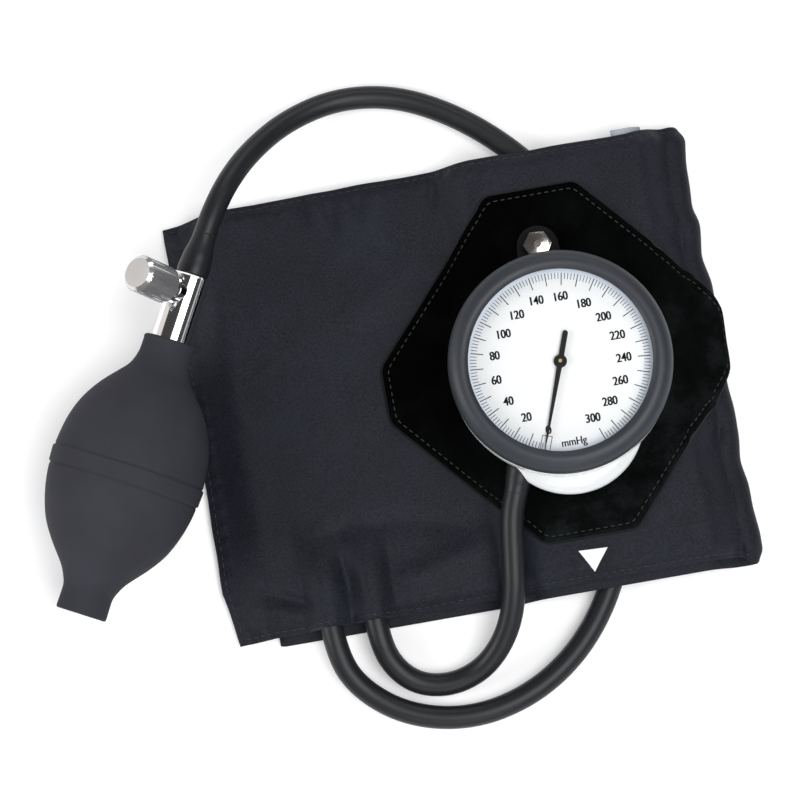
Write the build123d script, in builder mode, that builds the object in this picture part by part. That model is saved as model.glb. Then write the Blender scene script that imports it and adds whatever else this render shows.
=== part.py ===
"""An aneroid sphygmomanometer lying on a table: a folded arm cuff with a round
gauge bolted to its leather patch, a squeeze bulb with a release valve, and two
rubber hoses. Millimetres, +Z up, origin at the centre of the cuff's underside."""

import os
from math import asin, atan2, cos, degrees, pi, radians, sin, sqrt, tan

from build123d import *

os.makedirs("parts", exist_ok=True)

# Hoses
hose_radius = 3.9
hose_bore = 1.95
hose_floor_gap = 0.1
hose_rest = hose_radius + hose_floor_gap
hose_clearance = 0.2

# Folded cuff: heights are above the table
under_panel = 3.0
panel_gap = 2.0
top_panel = 5.0
cuff_stack = under_panel + panel_gap + top_panel
hump_height = 2 * hose_radius + 0.7
cuff_left = -90.5
under_left = -74.0
ramp_start = 4.0
ramp_end_left = 17.0
ramp_start_right = 73.0
ramp_end_right = 83.5
fold_x = 91.0
slit_end = 85.3
cuff_front = -72.3
cuff_back = 75.0
lip_front = -75.1
drape = 12.0
drape_flat = 6.0
fabric_skin = 1.2
ramp_round = 8.0
hem_round = 1.2

# Closing strips and tag between the panels
strip_thickness = 0.9
strip_left = -66.0
strip_right = -8.0
strip_front = -48.0
strip_back = 58.0
tag_left = 66.0
tag_width = 10.4
tag_thickness = 0.6
tag_inside = 14.0
tag_outside = 3.0

# Bladder inside the top panel
bladder_left = -64.0
bladder_right = 68.0
bladder_front = -55.0
bladder_back = 58.0
bladder_clearance = 0.2
bladder_wall = 0.9
neck_length = 9.0
neck_inside = 5.0
neck_x = (-55.8, -40.8)
neck_height = 9.6
connector_length = 14.0
connector_bore = 1.2
neck_end = bladder_front - neck_length
tunnel_wall = 1.3
tunnel_shoulder = 3.0
tunnel_taper = 16.0

# Patch and its eight corners, measured from its own centre
patch_thickness = 2.4
patch_x = 35.3
patch_y = 2.0
patch_half = 60.0
patch_flat_x = 15.5
patch_flat_y = 9.5

# Gauge axis and the hardware that holds it
gauge_x = 34.6
gauge_y = -1.8
foot_offset = 17.3
bolt_offset = 43.4
bracket_thickness = 1.2
bracket_foot_radius = 13.0
bracket_bolt_radius = 7.0
backing_thickness = 1.0
backing_margin = 1.0
bolt_shank = 2.0
bolt_flats = 8.4
bolt_head = 3.5
bolt_chamfer = 0.45
bolt_chamfer_drop = 1.6
bolt_dome = 0.35
bolt_crown = 1.2
washer_radius = 4.0
washer_thickness = 0.6
shank_clearance = 0.05
bracket_screw_spread = 6.5
bracket_screw_shank = 1.2
bracket_screw_head = 2.1
bracket_screw_depth = 3.4

# Foot of the gauge: a bowl under the case, set towards six o'clock
foot_height = 9.7
foot_base = 15.5
foot_rim = 24.8
foot_flat = 18.6
foot_hollow = 16.6
foot_floor = 1.8
foot_boss = 2.6
foot_boss_depth = 4.0
foot_screw_circle = 13.0
foot_screw_shank = 1.1
foot_screw_head = 2.0
bowl_knee = 3.6
bowl_knee_height = 2.3
bowl_widest = 5.5
bowl_shoulder = 1.9
bowl_shoulder_drop = 1.2
bowl_inside_knee = 2.2
bowl_inside_height = 4.0
nipple_left = 18.33
nipple_front = 28.95
nipple_rise = 3.25
flare_clearance = 0.2

# Case, bezel and lens
case_radius = 36.6
case_wall = 2.0
case_floor = 1.6
case_round = 2.2
case_height = 17.0
ledge_height = 11.2
ledge_width = 2.2
bezel_overhang = 0.4
bezel_radius = case_radius + bezel_overhang
bezel_width = 6.8
bezel_opening = bezel_radius - bezel_width
bezel_below = 9.6
bezel_above = 1.6
bezel_lip = 1.0
lens_thickness = 1.5
lens_margin = 0.2
dial_thickness = 0.5
dial_hole = 1.2
spacer_width = 1.3

# Movement heights above the case's inner floor
capsule_radius = 18.0
capsule_thickness = 2.2
capsule_stud = 2.6
capsule_stud_height = 1.2
capsule_rings = 3
capsule_land = 6.0
plate_bottom = 5.4
plate_thickness = 0.8
plate_top = 9.6
sector_height = 7.6
sector_thickness = 0.6
push_travel = 0.8
gear_ratio = 8.5
pinion_tip = 0.98
pinion_teeth = 10
mesh_gap = 0.12
sector_tip = 8.17
sector_teeth = 22
pivot_radius = 0.45
pivot_clearance = 0.05
arbor_radius = 0.9
sector_pivot = (-6.5, 6.61)
tail_radius = 1.8
tail_angle = -109.0
tail_pin = 0.3
rocker_radius = 0.55
rocker_height = 4.6
rocker_arm = 2.1
rocker_thickness = 0.5
rocker_rise = 2.5
rocker_front = -3.5
rocker_back = 6.6
rocker_lug = 1.2
legs = ((12.0, 4.0), (-14.0, 20.5), (-14.0, -21.5))
leg_radius = 3.0
pillars = ((-13.5, 8.0), (6.5, 4.5), (-4.0, -8.5))
pillar_radius = 1.3
small_screw_shank = 0.7
small_screw_head = 1.3
small_screw_height = 0.6
spring_inner = 1.25
spring_pitch = 0.75
spring_coils = 4
spring_strip = 0.25
spring_width = 0.5
spring_height = 8.7

# Pointer
pointer_height = 12.6
pointer_thickness = 0.35
pointer_reach = 29.0
pointer_tail = 10.4
pointer_tail_width = 1.8
pointer_hub = 2.2
pointer_pin = 0.6
zero_angle = 199.8
scale_angle = 320.4

# Bulb, its axis and its outline as (distance from the band, radius)
bulb_left = 114.1
bulb_front = 11.5
bulb_rise = 26.0
bulb_centre = Vector(-bulb_left, -bulb_front, bulb_rise)
bulb_heading = 27.6
bulb_tilt = 2.0
bulb_wall = 2.3
bulb_neck_at = 47.6
bulb_tail_at = -48.4
bulb_upper = ((35.6, 10.8), (22.9, 20.8), (11.6, 24.8))
bulb_lower = ((-13.8, 23.9), (-27.2, 17.4), (-34.4, 11.3))
bulb_belly = 25.8
bulb_neck = 8.8
bulb_neck_length = 6.0
bulb_tail = 8.6
bulb_tail_wall = 3.0
bulb_tail_length = 8.4
band_width = 5.4
band_height = 0.35

# Release valve between the bulb and its hose
valve_radius = 6.6
valve_length = 22.9
spigot_length = 14.0
spigot_clearance = 0.05
valve_bore = 1.6
valve_nipple = 3.2
valve_nipple_length = 13.0
barb = 0.25
barb_count = 3
chamber_radius = 4.2
chamber_depth = 4.0
retainer_length = 1.6
disc_thickness = 0.8
disc_clearance = 0.6
disc_travel = 1.0
screw_at = 16.5
screw_elevation = 57.0
screw_boss = 4.6
screw_boss_reach = 9.2
screw_hole = 2.05
screw_clearance = 0.1
screw_pitch = 0.8
seat_radius = 1.1
seat_reach = 3.0
knob_radius = 6.25
knob_start = 10.7
knob_length = 15.3
knob_ridges = 32
ridge_depth = 0.3
knob_bevel = 1.2
o_ring_at = 7.0
o_ring_section = 0.3

# Flared ends of the hoses over their nipples
valve_flare = 5.35
valve_flare_length = 14.0
gauge_nipple_radius = 2.5
gauge_nipple_length = 8.5
gauge_nipple_inside = 6.0
gauge_flare = 4.5
gauge_flare_length = 9.0
gauge_boss = 4.5

# Heights that follow from the stack
patch_bottom = hump_height + cuff_stack
patch_top = patch_bottom + patch_thickness
foot_bottom = patch_top + bracket_thickness
case_bottom = foot_bottom + foot_height
case_inside = case_bottom + case_floor
dial_bottom = case_inside + ledge_height
case_top = case_bottom + case_height
foot_y = gauge_y - foot_offset
bolt_y = gauge_y + bolt_offset


def unit(heading, tilt):
    """Direction from a heading (degrees from +Y towards +X) and an upward tilt."""
    flat = cos(radians(tilt))
    return Vector(sin(radians(heading)) * flat, cos(radians(heading)) * flat, sin(radians(tilt)))


def level(height, x=0.0, y=0.0):
    """A horizontal plane at a height, with its origin at x, y."""
    return Plane(origin=(x, y, height), x_dir=(1, 0, 0), z_dir=(0, 0, 1))


def upright(x, y):
    """A vertical plane through x, y whose own Y axis points up."""
    return Plane(origin=(x, y, 0), x_dir=(1, 0, 0), z_dir=(0, -1, 0))


def along(origin, side, axis):
    """A plane whose own Y axis runs along the given axis."""
    return Plane(origin=origin, x_dir=side, z_dir=side.cross(axis))


def across(origin, side, axis):
    """A plane square to the given axis."""
    return Plane(origin=origin, x_dir=side, z_dir=axis)


def rod(plane, radius, height, bore=0.0, mode=Mode.ADD):
    """A round rod, plate or ring standing on a plane."""
    with BuildSketch(plane) as section:
        Circle(radius)
        if bore > 0:
            Circle(bore, mode=Mode.SUBTRACT)
    extrude(section.sketch, amount=height, mode=mode)


def rods(plane, places, radius, height, mode=Mode.ADD):
    """Equal round rods at several places on a plane."""
    with BuildSketch(plane) as section:
        with Locations(*places):
            Circle(radius)
    extrude(section.sketch, amount=height, mode=mode)


def turned(plane, points, mode=Mode.ADD):
    """A turned piece: an outline of (radius, height) points spun about the plane's Y axis."""
    with BuildSketch(plane) as section:
        with BuildLine():
            Polyline(*points, close=True)
        make_face()
    revolve(section.sketch, axis=Axis(plane.origin, plane.y_dir), mode=mode)


def hull_plate(plane, places, radius, height, mode=Mode.ADD):
    """A flat plate whose outline is the hull of equal circles at the given places."""
    with BuildSketch(plane) as section:
        with BuildSketch(mode=Mode.PRIVATE) as spots:
            with Locations(*places):
                Circle(radius)
        make_hull(spots.sketch.edges())
    extrude(section.sketch, amount=height, mode=mode)


def countersunk(plane, places, shank, head, head_height, length, mode=Mode.ADD):
    """Countersunk screws whose flat heads lie in the plane and whose shanks run along it."""
    for x, y in places:
        start = Plane(origin=plane.from_local_coords((x, y, 0)), x_dir=plane.x_dir, z_dir=plane.z_dir)
        side = along(start.origin, start.x_dir, start.z_dir)
        shank_end = [(shank, length)] if length > head_height else []
        turned(side, [(0, 0), (head, 0), (shank, head_height)] + shank_end + [(0, length)],
               mode=mode)


# Folded cuff


def cuff_run(height, first, last):
    """The cuff's run from left to right, lifted by a height: flat, over the hidden hose, flat."""
    run = (
        (ramp_start, height),
        (ramp_end_left, hump_height + height),
        (ramp_start_right, hump_height + height),
        (ramp_end_right, height),
    )
    rounds = (ramp_round, ramp_round, ramp_round, ramp_round / 2)
    inner = [(p, r) for p, r in zip(run, rounds) if first + 1 < p[0] < last - 1]
    return inner


def height_at(x, height):
    """Height of the run at a place, lifted by a height."""
    climb = (x - ramp_start) / (ramp_end_left - ramp_start)
    fall = (ramp_end_right - x) / (ramp_end_right - ramp_start_right)
    return height + hump_height * max(0.0, min(1.0, climb, fall))


def layer(low, high, first, last):
    """Outline and corner radii of one layer of the folded cuff between two heights."""
    lower = cuff_run(low, first, last)
    upper = cuff_run(high, first, last)[::-1]
    start = [((first, height_at(first, low)), 0.0)]
    turn = [((last, height_at(last, low)), 0.0), ((last, height_at(last, high)), 0.0)]
    end = [((first, height_at(first, high)), 0.0)]
    return start + lower + turn + upper + end


def rounded_outline(corners):
    """Draw a closed outline of straight lines with the given radius at each corner."""
    ends = []
    for k, (here, radius) in enumerate(corners):
        before = Vector(*corners[k - 1][0])
        after = Vector(*corners[(k + 1) % len(corners)][0])
        corner = Vector(*here)
        back = (before - corner).normalized()
        ahead = (after - corner).normalized()
        half = radians(back.get_angle(ahead)) / 2
        reach = radius / tan(half)
        inward = (back + ahead).normalized()
        middle = corner + inward * (radius / sin(half) - radius)
        ends.append((corner + back * reach, middle, corner + ahead * reach))
    for k, (start, middle, end) in enumerate(ends):
        if corners[k][1] > 0:
            ThreePointArc(start, middle, end)
        Line(end, ends[(k + 1) % len(ends)][0])


def slab(corners, y_low, y_high, mode=Mode.ADD):
    """A slab with the given outline in X and Z, from one Y to another."""
    with BuildSketch(upright(0, y_high)) as section:
        with BuildLine():
            rounded_outline(corners)
        make_face()
    extrude(section.sketch, amount=y_high - y_low, mode=mode)


top_low = cuff_stack - top_panel
fold_round = cuff_stack / 2 - 0.05
cover_outline = (
    [((under_left, 0), hem_round)]
    + cuff_run(0, under_left, fold_x)
    + [((fold_x, 0), fold_round), ((fold_x, cuff_stack), fold_round)]
    + cuff_run(cuff_stack, cuff_left, fold_x)[::-1]
    + [
        ((cuff_left + drape + drape_flat, cuff_stack), ramp_round),
        ((cuff_left + drape_flat, top_panel), ramp_round),
        ((cuff_left, top_panel), hem_round),
        ((cuff_left, 0), hem_round),
        ((cuff_left + drape_flat, 0), ramp_round),
        ((cuff_left + drape + drape_flat, top_low), ramp_round),
    ]
    + cuff_run(top_low, cuff_left, slit_end + 2)
    + [((slit_end, top_low), 0.0), ((slit_end, under_panel), 0.0)]
    + cuff_run(under_panel, under_left, slit_end + 2)[::-1]
    + [((under_left, under_panel), hem_round)]
)
cavity_low = top_low + 1.0
cavity_high = cuff_stack - fabric_skin
tunnel_bore = hose_radius + hose_clearance
tunnel_outer = tunnel_bore + tunnel_wall
shoulder = bladder_front - cuff_front + tunnel_shoulder

with BuildPart() as cuff_cover:
    slab(cover_outline, cuff_front, cuff_back)
    slab(layer(0, under_panel, under_left, ramp_end_right + 1.5), lip_front, cuff_front)
    for x in neck_x:
        mouth = along(Vector(x, cuff_front, neck_height), Vector(1, 0, 0), Vector(0, 1, 0))
        turned(mouth, (
            (0, 0),
            (tunnel_outer, 0),
            (tunnel_outer, shoulder),
            (0.8, shoulder + tunnel_taper),
            (0, shoulder + tunnel_taper),
        ))
        rod(across(mouth.origin, Vector(1, 0, 0), Vector(0, 1, 0)), tunnel_bore,
            bladder_front - cuff_front + neck_inside + bladder_clearance, mode=Mode.SUBTRACT)
    slab(layer(cavity_low, cavity_high, bladder_left, bladder_right),
         bladder_front, bladder_back, mode=Mode.SUBTRACT)
cuff_cover.part.label = "cuff_cover"

bladder_low = cavity_low + bladder_clearance
bladder_high = cavity_high - bladder_clearance
with BuildPart() as bladder:
    slab(layer(bladder_low, bladder_high, bladder_left + bladder_clearance,
               bladder_right - bladder_clearance),
         bladder_front + bladder_clearance, bladder_back - bladder_clearance)
    for x in neck_x:
        rod(across(Vector(x, neck_end, neck_height), Vector(1, 0, 0), Vector(0, 1, 0)),
            hose_radius, neck_length + neck_inside)
    slab(layer(bladder_low + bladder_wall, bladder_high - bladder_wall,
               bladder_left + 4.0, bladder_right - 4.0),
         bladder_front + 2.0, bladder_back - 4.0, mode=Mode.SUBTRACT)
    for x in neck_x:
        rod(across(Vector(x, neck_end, neck_height), Vector(1, 0, 0), Vector(0, 1, 0)),
            hose_bore, neck_length + neck_inside - 1.0, mode=Mode.SUBTRACT)
        rod(level(bladder_low + bladder_wall + 0.2, x, bladder_front + 3.2), 1.0,
            neck_height - bladder_low - bladder_wall, mode=Mode.SUBTRACT)
bladder.part.label = "bladder"

with BuildPart() as hook_strip:
    slab(layer(under_panel, under_panel + strip_thickness, strip_left, strip_right),
         strip_front, strip_back)
hook_strip.part.label = "hook_strip"

with BuildPart() as loop_strip:
    slab(layer(top_low - strip_thickness, top_low, strip_left, strip_right),
         strip_front, strip_back)
loop_strip.part.label = "loop_strip"

with BuildPart() as size_tag:
    slab(layer(under_panel, under_panel + tag_thickness, tag_left, tag_left + tag_width),
         cuff_back - tag_inside, cuff_back + tag_outside)
size_tag.part.label = "size_tag"

# Leather patch with the gauge's mounting hardware

patch_outline = (
    [((patch_x - patch_half - 1, cuff_stack), 0.0)]
    + cuff_run(cuff_stack, patch_x - patch_half, fold_x)
    + [((fold_x, cuff_stack), fold_round), ((fold_x, cuff_stack / 2), 0.0)]
    + [((fold_x + patch_thickness, cuff_stack / 2), 0.0)]
    + [((fold_x + patch_thickness, cuff_stack + patch_thickness), fold_round + patch_thickness)]
    + cuff_run(cuff_stack + patch_thickness, patch_x - patch_half, fold_x)[::-1]
    + [((patch_x - patch_half - 1, cuff_stack + patch_thickness), 0.0)]
)
patch_corners = [
    (sx * ax, sy * ay)
    for sx, sy, order in ((1, 1, 1), (-1, 1, -1), (-1, -1, 1), (1, -1, -1))
    for ax, ay in ((patch_half, patch_flat_y), (patch_flat_x, patch_half))[::order]
]
bracket_spots = ((0, foot_y - gauge_y), (0, bolt_offset))
bracket_screw_spots = ((-bracket_screw_spread, 0), (bracket_screw_spread, 0))
bolt_clear = bolt_shank + shank_clearance
screw_clear = bracket_screw_shank + shank_clearance


def bracket_outline(plane, margin, height, mode=Mode.ADD):
    """The long plate from under the foot to the bolt, grown by a margin."""
    with BuildSketch(plane) as section:
        with BuildSketch(mode=Mode.PRIVATE) as spots:
            with Locations(bracket_spots[0]):
                Circle(bracket_foot_radius + margin)
            with Locations(bracket_spots[1]):
                Circle(bracket_bolt_radius + margin)
        make_hull(spots.sketch.edges())
    extrude(section.sketch, amount=height, mode=mode)


with BuildPart() as suede_patch:
    slab(patch_outline, patch_y - patch_half, patch_y + patch_half)
    with BuildSketch(level(0, patch_x, patch_y)) as octagon:
        Polygon(*patch_corners, align=None)
    extrude(octagon.sketch, amount=patch_top + 5, mode=Mode.INTERSECT)
    bracket_outline(level(patch_bottom, gauge_x, gauge_y), backing_margin,
                    backing_thickness, mode=Mode.SUBTRACT)
    rod(level(patch_bottom, gauge_x, bolt_y), bolt_clear, patch_thickness, mode=Mode.SUBTRACT)
    rods(level(patch_bottom, gauge_x, foot_y), bracket_screw_spots, screw_clear,
         patch_thickness, mode=Mode.SUBTRACT)
suede_patch.part.label = "suede_patch"

with BuildPart() as backing_plate:
    bracket_outline(level(patch_bottom, gauge_x, gauge_y), backing_margin - 0.1, backing_thickness)
    rod(level(patch_bottom, gauge_x, bolt_y), bolt_clear, backing_thickness, mode=Mode.SUBTRACT)
    countersunk(level(patch_bottom, gauge_x, foot_y), bracket_screw_spots, screw_clear,
                bracket_screw_head, backing_thickness, backing_thickness, mode=Mode.SUBTRACT)
backing_plate.part.label = "backing_plate"

with BuildPart() as mounting_bracket:
    bracket_outline(level(patch_top, gauge_x, gauge_y), 0, bracket_thickness)
    rod(level(patch_top, gauge_x, bolt_y), bolt_clear, bracket_thickness, mode=Mode.SUBTRACT)
    rods(level(patch_top, gauge_x, foot_y), bracket_screw_spots, screw_clear,
         bracket_thickness, mode=Mode.SUBTRACT)
mounting_bracket.part.label = "mounting_bracket"

with BuildPart() as bolt_washer:
    rod(level(foot_bottom, gauge_x, bolt_y), washer_radius, washer_thickness, bore=bolt_clear)
bolt_washer.part.label = "bolt_washer"

bolt_seat = foot_bottom + washer_thickness
with BuildPart() as hex_bolt:
    with BuildSketch(level(bolt_seat, gauge_x, bolt_y)) as head:
        RegularPolygon(bolt_flats / 2, 6, major_radius=False, rotation=-4.5)
    extrude(head.sketch, amount=bolt_head)
    turned(upright(gauge_x, bolt_y), (
        (0, bolt_seat),
        (bolt_flats, bolt_seat),
        (bolt_flats, bolt_seat + bolt_head - bolt_chamfer_drop),
        (bolt_flats / 2 - bolt_chamfer, bolt_seat + bolt_head - bolt_dome),
        (bolt_crown, bolt_seat + bolt_head),
        (0, bolt_seat + bolt_head),
    ), mode=Mode.INTERSECT)
    rod(level(patch_bottom, gauge_x, bolt_y), bolt_shank, bolt_seat - patch_bottom)
hex_bolt.part.label = "hex_bolt"

with BuildPart() as bracket_screws:
    countersunk(level(patch_bottom, gauge_x, foot_y), bracket_screw_spots, bracket_screw_shank,
                bracket_screw_head - shank_clearance, backing_thickness,
                patch_thickness + bracket_thickness + bracket_screw_depth)
bracket_screws.part.label = "bracket_screws"

# Foot with its hose nipple

foot_screw_spots = [
    (foot_screw_circle * cos(radians(a)), foot_screw_circle * sin(radians(a)))
    for a in (20, 160, 270)
]
nipple_axis = Vector(-0.347, -0.9, -0.14).normalized()
nipple_start = Vector(gauge_x - nipple_left, gauge_y - nipple_front, foot_bottom + nipple_rise)
nipple_side = Vector(-nipple_axis.Y, nipple_axis.X, 0).normalized()
boss_depth = 9.0
nipple_hole = nipple_start - nipple_axis * boss_depth
capsule_x = sector_pivot[0] - 1.24 - rocker_arm
capsule_y = -1.0
nut_height = 1.2
nut_flats = 5.2
stud_beyond_nut = 0.3
nut_clearance = 0.5
nut_pocket = nut_height + stud_beyond_nut + nut_clearance

with BuildPart() as case_foot:
    with BuildSketch(upright(gauge_x, foot_y)) as bowl:
        with BuildLine():
            Polyline((0, case_bottom), (0, foot_bottom), (foot_base, foot_bottom))
            Spline((foot_base, foot_bottom),
                   (foot_rim - bowl_knee, foot_bottom + bowl_knee_height),
                   (foot_rim, foot_bottom + bowl_widest),
                   (foot_rim - bowl_shoulder, case_bottom - bowl_shoulder_drop),
                   (foot_flat, case_bottom), tangents=((1, 0.1), (-1, 0)))
            Line((foot_flat, case_bottom), (0, case_bottom))
        make_face()
    revolve(bowl.sketch, axis=Axis((gauge_x, foot_y, 0), (0, 0, 1)))
    rod(across(nipple_start, nipple_side, nipple_axis), gauge_flare + flare_clearance,
        gauge_flare_length, mode=Mode.SUBTRACT)
    rod(across(nipple_hole, nipple_side, nipple_axis), gauge_boss, boss_depth)
    split(bisect_by=level(foot_bottom), keep=Keep.TOP)
    turned(upright(gauge_x, foot_y), (
        (0, foot_bottom + foot_floor),
        (foot_hollow - bowl_inside_knee, foot_bottom + foot_floor),
        (foot_hollow, foot_bottom + bowl_inside_height),
        (foot_hollow, case_bottom),
        (0, case_bottom),
    ), mode=Mode.SUBTRACT)
    rods(level(foot_bottom + foot_floor / 2, gauge_x, foot_y), foot_screw_spots, foot_boss,
         foot_height - foot_floor / 2)
    rods(level(foot_bottom, gauge_x, foot_y), bracket_screw_spots, foot_boss,
         bracket_screw_depth + 1.0)
    rod(across(nipple_hole, nipple_side, nipple_axis), gauge_boss - 1.2, boss_depth)
    rods(level(case_bottom - foot_boss_depth, gauge_x, foot_y), foot_screw_spots,
         foot_screw_shank + shank_clearance, foot_boss_depth, mode=Mode.SUBTRACT)
    rods(level(foot_bottom, gauge_x, foot_y), bracket_screw_spots, screw_clear,
         bracket_screw_depth, mode=Mode.SUBTRACT)
    rod(across(nipple_start - nipple_axis * gauge_nipple_inside, nipple_side, nipple_axis),
        gauge_nipple_radius, gauge_nipple_inside, mode=Mode.SUBTRACT)
    rod(across(nipple_hole, nipple_side, nipple_axis), 1.2, boss_depth, mode=Mode.SUBTRACT)
    rod(level(case_bottom - nut_pocket, gauge_x + capsule_x, gauge_y + capsule_y),
        nut_flats / sqrt(3) + nut_clearance, nut_pocket, mode=Mode.SUBTRACT)
case_foot.part.label = "case_foot"

with BuildPart() as gauge_nipple:
    turned(along(nipple_start, nipple_side, nipple_axis), [
        (1.2, -gauge_nipple_inside),
        (gauge_nipple_radius, -gauge_nipple_inside),
        (gauge_nipple_radius, 0.5),
    ] + [
        (gauge_nipple_radius - barb * (k % 2), 1.0 + 1.5 * k) for k in range(5)
    ] + [
        (gauge_nipple_radius - 2 * barb, gauge_nipple_length),
        (1.2, gauge_nipple_length),
    ])
gauge_nipple.part.label = "gauge_nipple"

# Case

case_plan = upright(gauge_x, gauge_y)
case_bore = case_radius - case_wall
foot_y_in_case = foot_y - gauge_y
case_screw_spots = [(x, y + foot_y_in_case) for x, y in foot_screw_spots]

with BuildPart() as gauge_case:
    turned(case_plan, (
        (0, case_bottom),
        (case_radius - case_round, case_bottom),
        (case_radius - 0.6, case_bottom + 0.7),
        (case_radius, case_bottom + case_round),
        (case_radius, case_top - bezel_below - 1.0),
        (case_radius - bezel_lip, case_top - bezel_below),
        (case_radius - bezel_lip, case_top),
        (case_bore, case_top),
        (case_bore, dial_bottom),
        (case_bore - ledge_width, dial_bottom),
        (case_bore - ledge_width, dial_bottom - 1.2),
        (case_bore, dial_bottom - 3.4),
        (case_bore, case_inside),
        (0, case_inside),
    ))
    rods(level(case_inside, gauge_x, gauge_y), legs, leg_radius - 0.8, plate_bottom)
    rods(level(case_inside, gauge_x, gauge_y), legs, small_screw_shank, plate_bottom,
         mode=Mode.SUBTRACT)
    countersunk(Plane(origin=(gauge_x, gauge_y, case_inside), x_dir=(1, 0, 0), z_dir=(0, 0, -1)),
                [(x, -y) for x, y in case_screw_spots], foot_screw_shank + shank_clearance,
                foot_screw_head, case_floor * 0.6, case_floor, mode=Mode.SUBTRACT)
    rod(level(case_bottom, gauge_x + capsule_x, gauge_y + capsule_y),
        capsule_stud - 0.6 + shank_clearance, case_floor, mode=Mode.SUBTRACT)
gauge_case.part.label = "gauge_case"

with BuildPart() as foot_screws:
    countersunk(Plane(origin=(gauge_x, gauge_y, case_inside), x_dir=(1, 0, 0), z_dir=(0, 0, -1)),
                [(x, -y) for x, y in case_screw_spots], foot_screw_shank,
                foot_screw_head - shank_clearance, case_floor * 0.6,
                case_floor + foot_boss_depth - 0.5)
foot_screws.part.label = "foot_screws"

# Capsule and what it pushes

capsule_low = case_inside + capsule_stud_height
capsule_high = capsule_low + capsule_thickness
capsule_mid = capsule_low + capsule_thickness / 2
nut_turn = 31.0
ring_step = (capsule_radius - capsule_land) / (2 * capsule_rings)


def capsule_side(sign, inset):
    """One corrugated face of the capsule, from its rim to its centre."""
    face = capsule_mid + sign * (capsule_thickness / 2 - inset)
    wave = 0.35
    points = [(capsule_radius - inset, capsule_mid + sign * 0.25)]
    for k in range(2 * capsule_rings):
        radius = capsule_radius - 2.0 - ring_step * k
        points.append((radius, face - sign * wave * (k % 2)))
    points.append((4.0, face))
    return points


with BuildPart() as capsule:
    capsule_axis = upright(gauge_x + capsule_x, gauge_y + capsule_y)
    outer_face = capsule_side(1, 0)
    outer_back = capsule_side(-1, 0)
    turned(capsule_axis, outer_face + [(0, capsule_high), (0, capsule_low)] + outer_back[::-1])
    rod(level(case_inside, gauge_x + capsule_x, gauge_y + capsule_y), capsule_stud,
        capsule_stud_height)
    rod(level(case_bottom - nut_height - stud_beyond_nut, gauge_x + capsule_x, gauge_y + capsule_y),
        capsule_stud - 0.6, case_floor + nut_height + stud_beyond_nut)
    inner_face = capsule_side(1, 0.4)
    inner_back = capsule_side(-1, 0.4)
    turned(capsule_axis, inner_face + [(0, capsule_high - 0.4), (0, capsule_low + 0.4)]
           + inner_back[::-1], mode=Mode.SUBTRACT)
    rod(level(case_bottom - nut_height - stud_beyond_nut, gauge_x + capsule_x, gauge_y + capsule_y),
        0.8, case_floor + nut_height + stud_beyond_nut + capsule_stud_height + 1.0, mode=Mode.SUBTRACT)
capsule.part.label = "capsule"

with BuildPart() as capsule_nut:
    with BuildSketch(level(case_bottom - nut_height, gauge_x + capsule_x,
                           gauge_y + capsule_y)) as nut_outline:
        RegularPolygon(nut_flats / 2, 6, major_radius=False, rotation=nut_turn)
        Circle(capsule_stud - 0.6 + shank_clearance, mode=Mode.SUBTRACT)
    extrude(nut_outline.sketch, amount=nut_height)
capsule_nut.part.label = "capsule_nut"

rocker_axis_height = case_inside + rocker_height
rocker_x = capsule_x + rocker_arm
push_top = rocker_axis_height - rocker_thickness / 2 - 0.1
with BuildPart() as push_pin:
    turned(upright(gauge_x + capsule_x, gauge_y + capsule_y), (
        (0, capsule_high),
        (1.5, capsule_high),
        (1.5, capsule_high + 0.4),
        (0.4, capsule_high + 0.5),
        (0.4, push_top - 0.1),
        (0.2, push_top),
        (0, push_top),
    ))
push_pin.part.label = "push_pin"

# Movement

bottom_plane = level(case_inside + plate_bottom, gauge_x, gauge_y)
top_plane = level(case_inside + plate_top, gauge_x, gauge_y)
between = plate_top - plate_bottom - plate_thickness
pivot_hole = pivot_radius + pivot_clearance
tail_x = sector_pivot[0] + tail_radius * cos(radians(tail_angle))
tail_y = sector_pivot[1] + tail_radius * sin(radians(tail_angle))
lug_height = plate_bottom - rocker_height + rocker_radius + 0.45

with BuildPart() as movement_bottom_plate:
    hull_plate(bottom_plane, legs, leg_radius, plate_thickness)
    lug_base = rocker_axis_height - rocker_radius - 0.45
    for y in (rocker_front, rocker_back):
        with BuildSketch(level(lug_base, gauge_x + rocker_x, gauge_y + y)) as lug:
            Rectangle(2 * rocker_radius + 1.6, rocker_lug)
        extrude(lug.sketch, amount=lug_height)
        ear = Plane(origin=(gauge_x + rocker_x, gauge_y + y - rocker_lug, rocker_axis_height),
                    x_dir=(1, 0, 0), z_dir=(0, 1, 0))
        rod(ear, rocker_radius + pivot_clearance, 2 * rocker_lug, mode=Mode.SUBTRACT)
    with BuildSketch(bottom_plane) as window:
        with Locations((rocker_x + 0.45, tail_y)):
            Rectangle(2.6, 2.0)
        with Locations((rocker_x - rocker_arm + 0.5, capsule_y)):
            Rectangle(3.0, 1.8)
    extrude(window.sketch, amount=plate_thickness, mode=Mode.SUBTRACT)
    rods(bottom_plane, [(0, 0), sector_pivot], pivot_hole, plate_thickness, mode=Mode.SUBTRACT)
    rods(bottom_plane, list(legs) + list(pillars), small_screw_shank + shank_clearance,
         plate_thickness, mode=Mode.SUBTRACT)
movement_bottom_plate.part.label = "movement_bottom_plate"

with BuildPart() as movement_pillars:
    rods(bottom_plane.offset(plate_thickness), pillars, pillar_radius, between)
    rods(bottom_plane.offset(plate_thickness), pillars, small_screw_shank, between,
         mode=Mode.SUBTRACT)
movement_pillars.part.label = "movement_pillars"

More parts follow.
